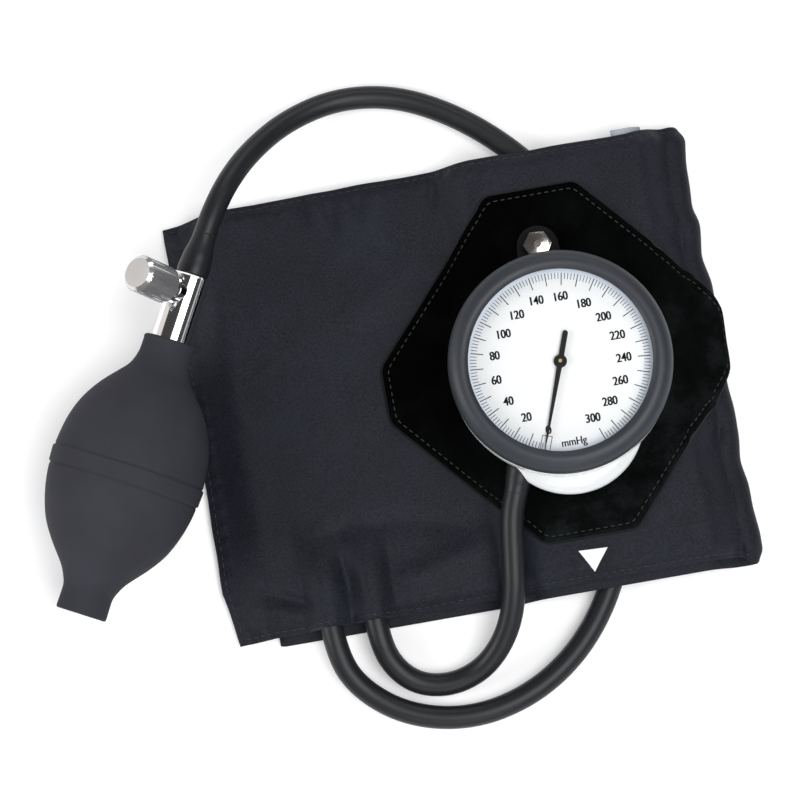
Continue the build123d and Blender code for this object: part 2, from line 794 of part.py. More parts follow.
with BuildPart() as movement_top_plate:
    hull_plate(top_plane, list(pillars) + [sector_pivot], pillar_radius + 1.3, plate_thickness)
    rods(top_plane, [sector_pivot], pivot_hole, plate_thickness, mode=Mode.SUBTRACT)
    rods(top_plane, [(0, 0)], arbor_radius + pivot_clearance, plate_thickness, mode=Mode.SUBTRACT)
    rods(top_plane, pillars, small_screw_shank + shank_clearance, plate_thickness,
         mode=Mode.SUBTRACT)
movement_top_plate.part.label = "movement_top_plate"

with BuildPart() as movement_screws:
    rods(bottom_plane.offset(plate_thickness), legs, small_screw_head, small_screw_height)
    rods(bottom_plane.offset(plate_thickness - 4.0), legs, small_screw_shank, 4.0)
movement_screws.part.label = "movement_screws"

with BuildPart() as plate_screws:
    rods(top_plane.offset(plate_thickness), pillars, small_screw_head, small_screw_height)
    rods(top_plane.offset(plate_thickness - 2.4), pillars, small_screw_shank, 2.4)
plate_screws.part.label = "plate_screws"

with BuildPart() as rocking_shaft:
    shaft_plane = Plane(origin=(gauge_x + rocker_x, gauge_y + rocker_front - rocker_lug,
                                rocker_axis_height), x_dir=(1, 0, 0), z_dir=(0, 1, 0))
    rod(shaft_plane, rocker_radius, rocker_back - rocker_front + 2 * rocker_lug)
    with BuildSketch(level(rocker_axis_height - rocker_thickness / 2, gauge_x + rocker_x,
                           gauge_y + capsule_y)) as lower_arm:
        with Locations((-rocker_arm / 2, 0)):
            Rectangle(rocker_arm + 0.8, 1.0)
    extrude(lower_arm.sketch, amount=rocker_thickness)
    with BuildSketch(level(rocker_axis_height, gauge_x + rocker_x, gauge_y + tail_y)) as upper_arm:
        Rectangle(rocker_thickness, 1.0)
    extrude(upper_arm.sketch, amount=rocker_rise)
rocking_shaft.part.label = "rocking_shaft"

mesh_angle = degrees(atan2(-sector_pivot[1], -sector_pivot[0]))
sector_swing = scale_angle / gear_ratio
sector_from = mesh_angle - sector_swing - 4.0
sector_to = mesh_angle + 4.0
sector_root = sector_tip - 0.4
sector_low = case_inside + sector_height


def sector_point(radius, angle):
    """A point around the sector's pivot, in the gauge's own plan."""
    return (radius * cos(radians(angle)), radius * sin(radians(angle)))


with BuildPart() as sector_gear:
    pivot_place = (gauge_x + sector_pivot[0], gauge_y + sector_pivot[1])
    with BuildSketch(level(sector_low, *pivot_place)) as web:
        with BuildLine():
            middle = (sector_from + sector_to) / 2
            rim = ThreePointArc(sector_point(sector_root, sector_from),
                                sector_point(sector_root, middle),
                                sector_point(sector_root, sector_to))
            Line(rim @ 1, (0, 0))
            Line((0, 0), rim @ 0)
        make_face()
        Circle(2.3)
        for k in range(sector_teeth):
            angle = sector_from + (sector_to - sector_from) * (k + 0.5) / sector_teeth
            with Locations(Location((*sector_point(sector_root - 0.1, angle), 0), angle)):
                Trapezoid(0.55, 0.5, 75, rotation=-90, align=(Align.CENTER, Align.MIN))
    extrude(web.sketch, amount=sector_thickness)
    rod(level(case_inside + plate_bottom + plate_thickness + 0.1, *pivot_place), arbor_radius,
        between - 0.2)
    rod(level(case_inside + plate_bottom, *pivot_place), pivot_radius,
        plate_top + plate_thickness - plate_bottom)
    rod(level(case_inside + plate_bottom + plate_thickness + 0.2, gauge_x + tail_x,
              gauge_y + tail_y), tail_pin,
        sector_height - plate_bottom - plate_thickness - 0.2)
sector_gear.part.label = "sector_gear"

pointer_low = case_inside + pointer_height
pinion_low = sector_height - 0.3
with BuildPart() as pinion_arbor:
    rod(level(case_inside + plate_bottom, gauge_x, gauge_y), pivot_radius, 1.0)
    rod(level(case_inside + plate_bottom + plate_thickness + 0.1, gauge_x, gauge_y), 0.6, 2.0)
    with BuildSketch(level(case_inside + pinion_low, gauge_x, gauge_y)) as pinion:
        Circle(pinion_tip - 0.28)
        with PolarLocations(pinion_tip - 0.4, pinion_teeth):
            Rectangle(0.4, 0.24, align=(Align.MIN, Align.CENTER))
        Circle(pinion_tip, mode=Mode.INTERSECT)
    extrude(pinion.sketch, amount=1.2)
    rod(level(case_inside + pinion_low + 1.2, gauge_x, gauge_y), arbor_radius,
        plate_top + plate_thickness + 0.3 - pinion_low - 1.2)
    rod(level(case_inside + plate_top, gauge_x, gauge_y), pointer_pin,
        pointer_low + pointer_thickness + 0.9 - case_inside - plate_top)
pinion_arbor.part.label = "pinion_arbor"

spring_plane = level(case_inside + spring_height, gauge_x, gauge_y)


def spiral(turns, offset):
    """Half circles that make a flat spiral, each a half pitch wider than the one before."""
    radius = spring_inner + offset
    x = radius
    sign = 1
    for _ in range(2 * turns):
        radius = radius + spring_pitch / 4
        across_x = x - sign * 2 * radius
        centre_x = (x + across_x) / 2
        ThreePointArc((x, 0), (centre_x, sign * radius), (across_x, 0))
        x = across_x
        sign = -sign
    return (x, 0)


with BuildPart() as hairspring:
    with BuildSketch(spring_plane) as strip:
        with BuildLine():
            end_inside = spiral(spring_coils, -spring_strip / 2)
            end_outside = spiral(spring_coils, spring_strip / 2)
            Line((spring_inner - spring_strip / 2, 0), (spring_inner + spring_strip / 2, 0))
            Line(end_inside, end_outside)
        make_face()
        with Locations(((arbor_radius + spring_inner) / 2 + 0.02, 0)):
            Rectangle(spring_inner - arbor_radius + 0.1, 0.6)
        Circle(arbor_radius, mode=Mode.SUBTRACT)
    extrude(strip.sketch, amount=spring_width)
hairspring.part.label = "hairspring"

stud_x = end_outside[0] + 0.5
with BuildPart() as hairspring_stud:
    rod(level(case_inside + spring_height - 0.2, gauge_x + stud_x, gauge_y), 0.5,
        plate_top - spring_height + 0.2)
hairspring_stud.part.label = "hairspring_stud"

# Dial, pointer, lens and bezel

with BuildPart() as dial_plate:
    rod(level(dial_bottom, gauge_x, gauge_y), case_bore - 0.1, dial_thickness, bore=dial_hole)
dial_plate.part.label = "dial_plate"

zero_heading = radians(90 - zero_angle)
pointer_place = Plane(origin=(gauge_x, gauge_y, pointer_low),
                      x_dir=(cos(zero_heading), sin(zero_heading), 0), z_dir=(0, 0, 1))
with BuildPart() as pointer:
    with BuildSketch(pointer_place) as needle:
        with BuildLine():
            Polyline((-pointer_tail + pointer_tail_width / 2, pointer_tail_width / 2),
                     (0, pointer_tail_width / 2), (pointer_reach - 4, 0.35), (pointer_reach, 0.08),
                     (pointer_reach, -0.08), (pointer_reach - 4, -0.35),
                     (0, -pointer_tail_width / 2),
                     (-pointer_tail + pointer_tail_width / 2, -pointer_tail_width / 2),
                     close=True)
        make_face()
        with Locations((-pointer_tail + pointer_tail_width / 2, 0)):
            Circle(pointer_tail_width / 2)
        Circle(pointer_hub)
        Circle(pointer_pin, mode=Mode.SUBTRACT)
    extrude(needle.sketch, amount=pointer_thickness)
    rod(level(pointer_low + pointer_thickness, gauge_x, gauge_y), 1.5, 0.5, bore=pointer_pin)
pointer.part.label = "pointer"

dial_top = dial_bottom + dial_thickness
lens_bottom = case_top - lens_thickness + 0.4
with BuildPart() as dial_spacer_ring:
    rod(level(dial_top, gauge_x, gauge_y), case_bore - 0.1, lens_bottom - dial_top,
        bore=case_bore - spacer_width)
dial_spacer_ring.part.label = "dial_spacer_ring"

with BuildPart() as lens:
    rod(level(lens_bottom, gauge_x, gauge_y), case_bore - lens_margin, lens_thickness)
lens.part.label = "lens"

bezel_low = case_top - bezel_below
lens_top = lens_bottom + lens_thickness
bezel_top = lens_top + bezel_above
bezel_middle = (bezel_low + bezel_top) / 2
with BuildPart() as bezel_ring:
    with BuildSketch(case_plan) as bezel_section:
        with BuildLine():
            Polyline((case_radius - 0.2, bezel_low), (case_radius - bezel_lip, bezel_low),
                     (case_radius - bezel_lip, lens_top), (bezel_opening, lens_top),
                     (bezel_opening, lens_top + 0.6))
            Spline((bezel_opening, lens_top + 0.6), (bezel_opening + 2.6, bezel_top),
                   (bezel_radius - 0.7, bezel_middle + 3.4), (bezel_radius, bezel_middle),
                   (case_radius - 0.2, bezel_low))
        make_face()
    revolve(bezel_section.sketch, axis=Axis((gauge_x, gauge_y, 0), (0, 0, 1)))
bezel_ring.part.label = "bezel_ring"

# Bulb

bulb_axis = unit(bulb_heading, bulb_tilt)
bulb_side = Vector(-bulb_axis.Y, bulb_axis.X, 0).normalized()
bulb_up = bulb_axis.cross(bulb_side)
bulb_plan = along(bulb_centre, bulb_side, bulb_axis)
neck_bore = bulb_neck - bulb_wall - 0.35
tail_bore = bulb_tail - bulb_tail_wall


def bulb_outline(inset):
    """Half outline of the bulb as lines and one smooth curve, thinned by an inset."""
    neck = bulb_neck - inset if inset == 0 else neck_bore
    tail = bulb_tail - inset if inset == 0 else tail_bore
    waist_high = bulb_neck_at - bulb_neck_length
    waist_low = bulb_tail_at + bulb_tail_length
    belly = [(r - inset, t) for t, r in bulb_upper]
    belly += [(bulb_belly - inset, 0)]
    belly += [(r - inset, t) for t, r in bulb_lower]
    return (neck, waist_high), belly, (tail, waist_low)


def bulb_solid(inset, mode):
    """The bulb's body of revolution, thinned by an inset."""
    high, belly, low = bulb_outline(inset)
    with BuildSketch(bulb_plan) as section:
        with BuildLine():
            Polyline((0, bulb_tail_at), (low[0], bulb_tail_at), low)
            Spline(low, *belly[::-1], high, tangents=((0, 1), (0, 1)))
            Polyline(high, (high[0], bulb_neck_at), (0, bulb_neck_at), (0, bulb_tail_at))
        make_face()
    revolve(section.sketch, axis=Axis(bulb_centre, bulb_axis), mode=mode)


with BuildPart() as bulb:
    bulb_solid(0, Mode.ADD)
    rod(across(bulb_centre - bulb_axis * (band_width / 2), bulb_side, bulb_axis),
        bulb_belly + band_height, band_width)
    bulb_solid(bulb_wall, Mode.SUBTRACT)
bulb.part.label = "bulb"

# Release valve: heights along the bulb's axis are counted from the end of its neck

neck_point = bulb_centre + bulb_axis * bulb_neck_at
valve_plan = along(neck_point, bulb_side, bulb_axis)
spigot = neck_bore - spigot_clearance
screw_axis = bulb_side * cos(radians(screw_elevation)) + bulb_up * sin(radians(screw_elevation))
screw_centre = neck_point + bulb_axis * screw_at
screw_plan = along(screw_centre, bulb_axis, screw_axis)
screw_square = across(screw_centre, bulb_axis, screw_axis)
chamber_low = -spigot_length + retainer_length
chamber_high = chamber_low + chamber_depth
nipple_end = valve_length + valve_nipple_length
barb_step = (valve_nipple_length - 2.0) / (2 * barb_count)

with BuildPart() as valve_body:
    turned(valve_plan, [
        (0, -spigot_length),
        (spigot, -spigot_length),
        (spigot, 0),
        (valve_radius, 0),
        (valve_radius, valve_length - 0.6),
        (valve_radius - 0.6, valve_length),
        (valve_nipple, valve_length),
    ] + [
        (valve_nipple - barb * (k % 2), valve_length + 1.0 + barb_step * k)
        for k in range(2 * barb_count)
    ] + [
        (valve_nipple - 2 * barb, nipple_end),
        (0, nipple_end),
    ])
    turned(screw_plan, (
        (0, 0),
        (screw_boss, 0),
        (screw_boss, valve_radius + 1.2),
        (screw_boss - 0.9, valve_radius + 1.8),
        (screw_boss - 0.9, screw_boss_reach),
        (0, screw_boss_reach),
    ))
    rod(across(neck_point + bulb_axis * chamber_high, bulb_side, bulb_axis), valve_bore,
        nipple_end - chamber_high, mode=Mode.SUBTRACT)
    rod(across(neck_point - bulb_axis * spigot_length, bulb_side, bulb_axis), chamber_radius,
        retainer_length + chamber_depth, mode=Mode.SUBTRACT)
    rod(across(screw_centre, bulb_axis, screw_axis), seat_radius, seat_reach + 0.5,
        mode=Mode.SUBTRACT)
    rod(across(screw_centre + screw_axis * seat_reach, bulb_axis, screw_axis), screw_hole,
        screw_boss_reach - seat_reach, mode=Mode.SUBTRACT)
valve_body.part.label = "valve_body"

stem_radius = screw_hole - screw_clearance
stem_inside_knob = 3.0
groove_radius = stem_radius - 0.6
groove_half = o_ring_section + 0.12
with BuildPart() as needle_stem:
    turned(screw_plan, (
        (0, seat_reach - 0.4),
        (seat_radius - 0.35, seat_reach - 0.4),
        (stem_radius, seat_reach + 1.1),
        (stem_radius, o_ring_at - groove_half),
        (groove_radius, o_ring_at - groove_half),
        (groove_radius, o_ring_at + groove_half),
        (stem_radius, o_ring_at + groove_half),
        (stem_radius, knob_start + stem_inside_knob),
        (0, knob_start + stem_inside_knob),
    ))
needle_stem.part.label = "needle_stem"

with BuildPart() as screw_o_ring:
    with BuildSketch(screw_plan) as ring_section:
        with Locations((screw_hole - 0.03 - o_ring_section, o_ring_at)):
            Circle(o_ring_section)
    revolve(ring_section.sketch, axis=Axis(screw_centre, screw_axis))
screw_o_ring.part.label = "screw_o_ring"

knob_end = knob_start + knob_length
with BuildPart() as thumbscrew_knob:
    with BuildSketch(across(screw_centre + screw_axis * knob_start, bulb_axis,
                            screw_axis)) as knob_section:
        Circle(knob_radius - ridge_depth)
        with PolarLocations(knob_radius - ridge_depth, knob_ridges):
            Rectangle(2 * ridge_depth, 0.55)
    extrude(knob_section.sketch, amount=knob_length)
    turned(screw_plan, (
        (0, knob_start),
        (knob_radius - 0.6, knob_start),
        (knob_radius + 0.1, knob_start + 0.7),
        (knob_radius + 0.1, knob_end - knob_bevel),
        (knob_radius - knob_bevel, knob_end),
        (0, knob_end),
    ), mode=Mode.INTERSECT)
    rod(across(screw_centre + screw_axis * knob_start, bulb_axis, screw_axis), stem_radius,
        stem_inside_knob, mode=Mode.SUBTRACT)
thumbscrew_knob.part.label = "thumbscrew_knob"

with BuildPart() as outlet_retainer:
    rod(across(neck_point - bulb_axis * spigot_length, bulb_side, bulb_axis), chamber_radius,
        retainer_length, bore=1.8)
outlet_retainer.part.label = "outlet_retainer"

disc_seat_gap = 0.1
with BuildPart() as outlet_disc:
    rod(across(neck_point + bulb_axis * (chamber_low + disc_seat_gap), bulb_side, bulb_axis),
        chamber_radius - disc_clearance, disc_thickness)
outlet_disc.part.label = "outlet_disc"

# Intake valve in the bulb's tail: heights are counted inwards from the tail's end

tail_point = bulb_centre + bulb_axis * bulb_tail_at
tail_plan = along(tail_point, bulb_side, bulb_axis)
intake_length = 10.0
intake_recess = 0.5
filter_seat = 1.4
intake_chamber = 4.4
intake_chamber_radius = tail_bore - 1.6


def tail_rod(start, radius, length, bore=0.0, mode=Mode.ADD):
    """A rod on the tail's axis, starting a distance in from its end."""
    rod(across(tail_point + bulb_axis * start, bulb_side, bulb_axis), radius, length, bore, mode)


with BuildPart() as intake_valve_body:
    tail_rod(intake_recess, tail_bore - spigot_clearance, intake_length)
    tail_rod(intake_recess, intake_chamber_radius + 0.5, filter_seat - intake_recess,
             mode=Mode.SUBTRACT)
    tail_rod(filter_seat, valve_bore, intake_chamber - filter_seat, mode=Mode.SUBTRACT)
    tail_rod(intake_chamber, intake_chamber_radius, intake_length, mode=Mode.SUBTRACT)
intake_valve_body.part.label = "intake_valve_body"

with BuildPart() as intake_disc:
    tail_rod(intake_chamber + disc_seat_gap, intake_chamber_radius - disc_clearance, disc_thickness)
intake_disc.part.label = "intake_disc"

with BuildPart() as intake_retainer:
    tail_rod(intake_length + intake_recess - retainer_length, intake_chamber_radius,
             retainer_length, bore=1.8)
intake_retainer.part.label = "intake_retainer"

with BuildPart() as intake_filter:
    tail_rod(filter_seat - 0.5, intake_chamber_radius + 0.45, 0.5)
    with BuildSketch(across(tail_point + bulb_axis * (filter_seat - 0.5), bulb_side,
                            bulb_axis)) as filter_holes:
        Circle(0.45)
        with PolarLocations(1.6, 6):
            Circle(0.45)
    extrude(filter_holes.sketch, amount=0.5, mode=Mode.SUBTRACT)
intake_filter.part.label = "intake_filter"

# Hoses: routes chosen by hand, from the flare to the bladder's neck

hose_lead = 8.0
gauge_hose_start = nipple_start + nipple_axis * gauge_flare_length
gauge_hose_lead = gauge_hose_start + nipple_axis * hose_lead
gauge_route = (
    (gauge_hose_start.X, gauge_hose_start.Y, gauge_hose_start.Z),
    (gauge_hose_lead.X, gauge_hose_lead.Y, gauge_hose_lead.Z),
    (8.4, -59.9, 19.9),
    (6.9, -71.0, 17.7),
    (3.7, -80.9, 13.8),
    (-2.0, -89.1, 9.0),
    (-9.8, -94.9, 5.3),
    (-20.2, -97.4, hose_rest),
    (-30.8, -95.0, hose_rest),
    (-38.2, -87.2, 5.9),
    (neck_x[1], -76.0, neck_height),
    (neck_x[1], neck_end, neck_height),
)
valve_end = neck_point + bulb_axis * valve_length
bulb_hose_start = valve_end + bulb_axis * valve_flare_length
bulb_hose_lead = bulb_hose_start + bulb_axis * hose_lead
bulb_route = (
    (bulb_hose_start.X, bulb_hose_start.Y, bulb_hose_start.Z),
    (bulb_hose_lead.X, bulb_hose_lead.Y, bulb_hose_lead.Z),
    (-64.6, 80.9, 26.4),
    (-55.6, 91.5, 19.4),
    (-42.2, 101.6, 11.2),
    (-24.0, 107.6, 5.2),
    (-4.0, 105.2, hose_rest),
    (14.8, 95.2, hose_rest),
    (31.5, 80.6, hose_rest),
    (46.0, 61.8, hose_rest),
    (55.0, 37.0, hose_rest),
    (57.6, 8.0, hose_rest),
    (54.6, -20.6, hose_rest),
    (49.0, -47.6, hose_rest),
    (40.2, -73.2, hose_rest),
    (26.0, -92.6, hose_rest),
    (7.5, -105.0, hose_rest),
    (-14.2, -109.8, hose_rest),
    (-35.6, -105.0, hose_rest),
    (-51.0, -92.4, 5.4),
    (neck_x[0], -78.6, neck_height),
    (neck_x[0], neck_end, neck_height),
)


def route_radii(route):
    """Radius of the arc at each inner point: as large as its two runs allow."""
    radii = []
    for before, here, after in zip(route, route[1:], route[2:]):
        arriving = Vector(*here) - Vector(*before)
        leaving = Vector(*after) - Vector(*here)
        turn = radians(arriving.get_angle(leaving))
        shorter = min(arriving.length, leaving.length)
        radii.append(0.45 * shorter / tan(turn / 2))
    return radii


def report_route(name, route, length, volume):
    """Print what a route's tube measures."""
    radii = route_radii(route)
    runs = [(Vector(*b) - Vector(*a)).length for a, b in zip(route, route[1:])]
    section = pi * (hose_radius**2 - hose_bore**2)
    print(name, "radii", [round(r, 1) for r in radii])
    print(name, "runs", [round(r, 1) for r in runs])
    print(name, "length", round(length, 1), "volume over section times length",
          round(volume / (section * length), 4))


def hose_tube(route):
    """The hose's tube along its route, bored from end to end."""
    with BuildLine() as path:
        FilletPolyline(*route, radius=route_radii(route))
    wire = path.wires()[0]
    with BuildSketch(Plane(origin=wire @ 0, z_dir=wire % 0)) as section:
        Circle(hose_radius)
        Circle(hose_bore, mode=Mode.SUBTRACT)
    sweep(sections=section.sketch, path=wire)
    return wire.length


with BuildPart() as gauge_hose:
    gauge_hose_length = hose_tube(gauge_route)
    gauge_tube_volume = gauge_hose.part.volume
    turned(along(nipple_start, nipple_side, nipple_axis), (
        (gauge_nipple_radius, 0),
        (gauge_flare, 0),
        (gauge_flare, 1.5),
        (hose_radius, gauge_flare_length),
        (hose_bore, gauge_flare_length),
        (gauge_nipple_radius, gauge_nipple_length),
    ))
gauge_hose.part.label = "gauge_hose"
report_route("gauge_hose", gauge_route, gauge_hose_length, gauge_tube_volume)

with BuildPart() as bulb_hose:
    bulb_hose_length = hose_tube(bulb_route)
    bulb_tube_volume = bulb_hose.part.volume
    turned(along(valve_end, bulb_side, bulb_axis), (
        (valve_nipple, 0),
        (valve_flare, 0),
        (valve_flare, 3.0),
        (hose_radius, valve_flare_length),
        (hose_bore, valve_flare_length),
        (valve_nipple, valve_nipple_length),
    ))
bulb_hose.part.label = "bulb_hose"
report_route("bulb_hose", bulb_route, bulb_hose_length, bulb_tube_volume)

with BuildPart() as hose_connectors:
    for x in neck_x:
        rod(across(Vector(x, neck_end - connector_length / 2, neck_height), Vector(1, 0, 0),
                   Vector(0, 1, 0)), hose_bore - 0.05, connector_length, bore=connector_bore)
hose_connectors.part.label = "hose_connectors"

pieces = (
    cuff_cover, bladder, hook_strip, loop_strip, size_tag, suede_patch, backing_plate,
    mounting_bracket, bolt_washer, hex_bolt, bracket_screws, case_foot, gauge_nipple,
    gauge_case, foot_screws, capsule, capsule_nut, push_pin, movement_bottom_plate,
    movement_pillars, movement_top_plate, movement_screws, plate_screws, rocking_shaft,
    sector_gear, pinion_arbor, hairspring, hairspring_stud, dial_plate, pointer,
    dial_spacer_ring, lens, bezel_ring, bulb, valve_body, needle_stem, screw_o_ring,
    thumbscrew_knob, outlet_retainer, outlet_disc, intake_valve_body, intake_disc,
    intake_retainer, intake_filter, gauge_hose, bulb_hose, hose_connectors,
)
for piece in pieces:
    export_step(piece.part, f"parts/{piece.part.label}.step")

print("bulb axis", [round(v, 5) for v in bulb_axis])
print("screw axis", [round(v, 5) for v in screw_axis], "through", [round(v, 3) for v in screw_centre])
print("outlet disc", [round(v, 3) for v in neck_point], "intake", [round(v, 3) for v in tail_point])
print("rocker axis", gauge_x + rocker_x, gauge_y, rocker_axis_height)
print("heights", patch_top, foot_bottom, case_bottom, case_inside, dial_bottom, pointer_low, bezel_top)
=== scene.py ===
"""Looks for the aneroid sphygmomanometer: fabric, leather, rubber, metal, dial print and light.
Metres, in the same frame as the CAD model."""
import math

import bpy
import numpy as np
from mathutils import Matrix, Vector, noise


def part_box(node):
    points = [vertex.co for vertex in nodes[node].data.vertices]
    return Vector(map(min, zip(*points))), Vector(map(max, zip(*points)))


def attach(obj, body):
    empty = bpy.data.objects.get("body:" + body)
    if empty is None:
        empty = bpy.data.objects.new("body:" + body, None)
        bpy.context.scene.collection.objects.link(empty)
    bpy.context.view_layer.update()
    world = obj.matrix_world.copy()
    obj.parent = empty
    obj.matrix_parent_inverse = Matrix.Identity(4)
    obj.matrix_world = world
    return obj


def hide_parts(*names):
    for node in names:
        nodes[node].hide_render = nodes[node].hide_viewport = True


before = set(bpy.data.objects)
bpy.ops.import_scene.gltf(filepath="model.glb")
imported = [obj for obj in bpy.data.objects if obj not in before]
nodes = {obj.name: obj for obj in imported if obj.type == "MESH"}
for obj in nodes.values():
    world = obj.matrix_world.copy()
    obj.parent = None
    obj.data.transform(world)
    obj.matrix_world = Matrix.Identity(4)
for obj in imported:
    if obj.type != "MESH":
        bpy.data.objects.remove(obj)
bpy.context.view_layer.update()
MM = 0.001


def linked(name, data):
    """A new object with the given data, in the scene."""
    obj = bpy.data.objects.new(name, data)
    bpy.context.collection.objects.link(obj)
    return obj


# ---------------------------------------------------------------- camera

TILT_SOUTH = math.tan(math.radians(8.0))
TILT_EAST = math.tan(math.radians(2.5))
TURN = math.radians(10.1)
DISTANCE = 1.2
VIEW_WIDTH = 0.2704


def image_to_row(east, north, up):
    """A direction in image axes (east, north, up) turned into the part's axes."""
    return Vector((east * math.cos(TURN) + north * math.sin(TURN),
                   -east * math.sin(TURN) + north * math.cos(TURN), up))


target = Vector((-0.020, 0.0, 0.010))
back_image = Vector((TILT_EAST, -TILT_SOUTH, 1.0)).normalized()
right_image = (Vector((1, 0, 0)) - back_image * back_image.x).normalized()
up_image = back_image.cross(right_image)
back, right, above = (image_to_row(*v) for v in (back_image, right_image, up_image))
camera_data = bpy.data.cameras.new("camera")
camera_data.sensor_width = 36.0
camera_data.lens = 36.0 * DISTANCE / VIEW_WIDTH
camera_data.clip_start = 0.05
camera = linked("camera", camera_data)
turned = Matrix((right, above, back)).transposed().to_4x4()
camera.matrix_world = Matrix.Translation(target + back * DISTANCE) @ turned
bpy.context.scene.camera = camera
bpy.context.scene.view_settings.view_transform = "Standard"

# ---------------------------------------------------------------- materials


def blank_tree(owner, output="ShaderNodeOutputMaterial"):
    """An emptied node tree with its output's first socket."""
    owner.use_nodes = True
    tree = owner.node_tree
    tree.nodes.clear()
    return tree, tree.nodes.new(output).inputs[0]


def set_inputs(node, values):
    """Set a node's own sockets by name and give the node back."""
    for socket, value in values.items():
        node.inputs[socket].default_value = value
    return node


def fresh(name):
    """A node material with its Principled shader and its object coordinates."""
    made = bpy.data.materials.new(name)
    tree, surface = blank_tree(made)
    shader = tree.nodes.new("ShaderNodeBsdfPrincipled")
    tree.links.new(shader.outputs[0], surface)
    coords = tree.nodes.new("ShaderNodeTexCoord")
    return made, tree, shader, coords.outputs["Object"]


def noise_node(tree, coords, scale, detail=3.0, rough=0.55):
    """A noise texture."""
    node = set_inputs(tree.nodes.new("ShaderNodeTexNoise"),
                      {"Scale": scale, "Detail": detail, "Roughness": rough})
    tree.links.new(coords, node.inputs["Vector"])
    return node.outputs["Fac"]


def ramp(tree, fac, stops):
    """A colour ramp through (position, colour) stops."""
    node = tree.nodes.new("ShaderNodeValToRGB")
    ramp_stops = node.color_ramp.elements
    while len(ramp_stops) < len(stops):
        ramp_stops.new(0.5)
    for element, (place, colour) in zip(ramp_stops, stops):
        element.position = place
        element.color = (*colour, 1.0)
    tree.links.new(fac, node.inputs["Fac"])
    return node.outputs["Color"]


def math_node(tree, kind, a, b):
    """A math node on sockets or numbers."""
    node = tree.nodes.new("ShaderNodeMath")
    node.operation = kind
    for socket, value in zip(node.inputs, (a, b)):
        if isinstance(value, (int, float)):
            socket.default_value = value
        else:
            tree.links.new(value, socket)
    return node.outputs[0]


def bump(tree, shader, heights):
    """Chain bump nodes of (height socket, strength, distance) into the shader's normal."""
    normal = None
    for height, strength, distance in heights:
        node = set_inputs(tree.nodes.new("ShaderNodeBump"),
                          {"Strength": strength, "Distance": distance})
        tree.links.new(height, node.inputs["Height"])
        if normal:
            tree.links.new(normal, node.inputs["Normal"])
        normal = node.outputs[0]
    tree.links.new(normal, shader.inputs["Normal"])


def wave(tree, coords, direction, period, distortion=0.0):
    """Bands with a given period in metres."""
    node = tree.nodes.new("ShaderNodeTexWave")
    node.wave_type = "BANDS"
    node.bands_direction = direction
    set_inputs(node, {"Scale": 2 * math.pi / (20 * period), "Distortion": distortion})
    tree.links.new(coords, node.inputs["Vector"])
    return node.outputs["Fac"]


def plain(name, colour, rough, metallic=0.0, vary=0.12, grain=900.0, grain_depth=2e-5,
          rough_vary=0.08, coat=0.0, gloss=0.5):
    """A moulded, painted or turned surface with slight tone and gloss changes and a fine grain."""
    made, tree, shader, coords = fresh(name)
    tone = noise_node(tree, coords, 60.0)
    low = [c * (1 - vary) for c in colour]
    high = [min(1.0, c * (1 + vary)) for c in colour]
    tree.links.new(ramp(tree, tone, [(0.3, low), (0.7, high)]), shader.inputs["Base Color"])
    worn = math_node(tree, "MULTIPLY_ADD", noise_node(tree, coords, 140.0), rough_vary)
    worn.node.inputs[2].default_value = rough - rough_vary / 2
    tree.links.new(worn, shader.inputs["Roughness"])
    set_inputs(shader, {"Metallic": metallic, "Specular IOR Level": gloss,
                        "Coat Weight": coat, "Coat Roughness": 0.08})
    bump(tree, shader, [(noise_node(tree, coords, grain, 2.0), 0.35, grain_depth)])
    return made


def turned_coords(tree, coords, degrees):
    """Coordinates turned about Z."""
    mapping = tree.nodes.new("ShaderNodeMapping")
    mapping.inputs["Rotation"].default_value = (0, 0, math.radians(degrees))
    tree.links.new(coords, mapping.inputs["Vector"])
    return mapping.outputs[0]


def woven(name, colour, period, rough, sheen, depth=4e-5, fuzz=0.0, gloss=0.3):
    """Twill-woven cloth: fine diagonal ribs over crossed threads, with a faint sheen."""
    made, tree, shader, coords = fresh(name)
    tone = noise_node(tree, coords, 45.0, 4.0)
    speck = noise_node(tree, coords, 1500.0, 3.0, 0.7)
    ribs = wave(tree, turned_coords(tree, coords, 52.0), "X", period * 1.7, 1.5)
    mixed = math_node(tree, "ADD", math_node(tree, "MULTIPLY", tone, 0.27),
                      math_node(tree, "MULTIPLY", speck, 0.67))
    mixed = math_node(tree, "ADD", mixed, math_node(tree, "MULTIPLY", ribs, 0.06))
    low = [c * 0.35 for c in colour]
    high = [c * 1.75 for c in colour]
    tree.links.new(ramp(tree, mixed, [(0.39, low), (0.61, high)]), shader.inputs["Base Color"])
    threads = math_node(tree, "ADD", wave(tree, coords, "X", period),
                        wave(tree, coords, "Y", period))
    threads = math_node(tree, "ADD", threads, math_node(tree, "MULTIPLY", ribs, 0.5))
    tree.links.new(math_node(tree, "ADD", math_node(tree, "MULTIPLY", tone, 0.12), rough - 0.06),
                   shader.inputs["Roughness"])
    set_inputs(shader, {"Sheen Weight": sheen, "Sheen Roughness": 0.45,
                        "Sheen Tint": (0.8, 0.86, 1.0, 1.0), "Specular IOR Level": gloss})
    layers = [(threads, 0.5, depth), (speck, 0.45, depth * 1.6)]
    if fuzz:
        layers.append((noise_node(tree, coords, 900.0, 4.0, 0.7), 0.6, fuzz))
    bump(tree, shader, layers)
    return made


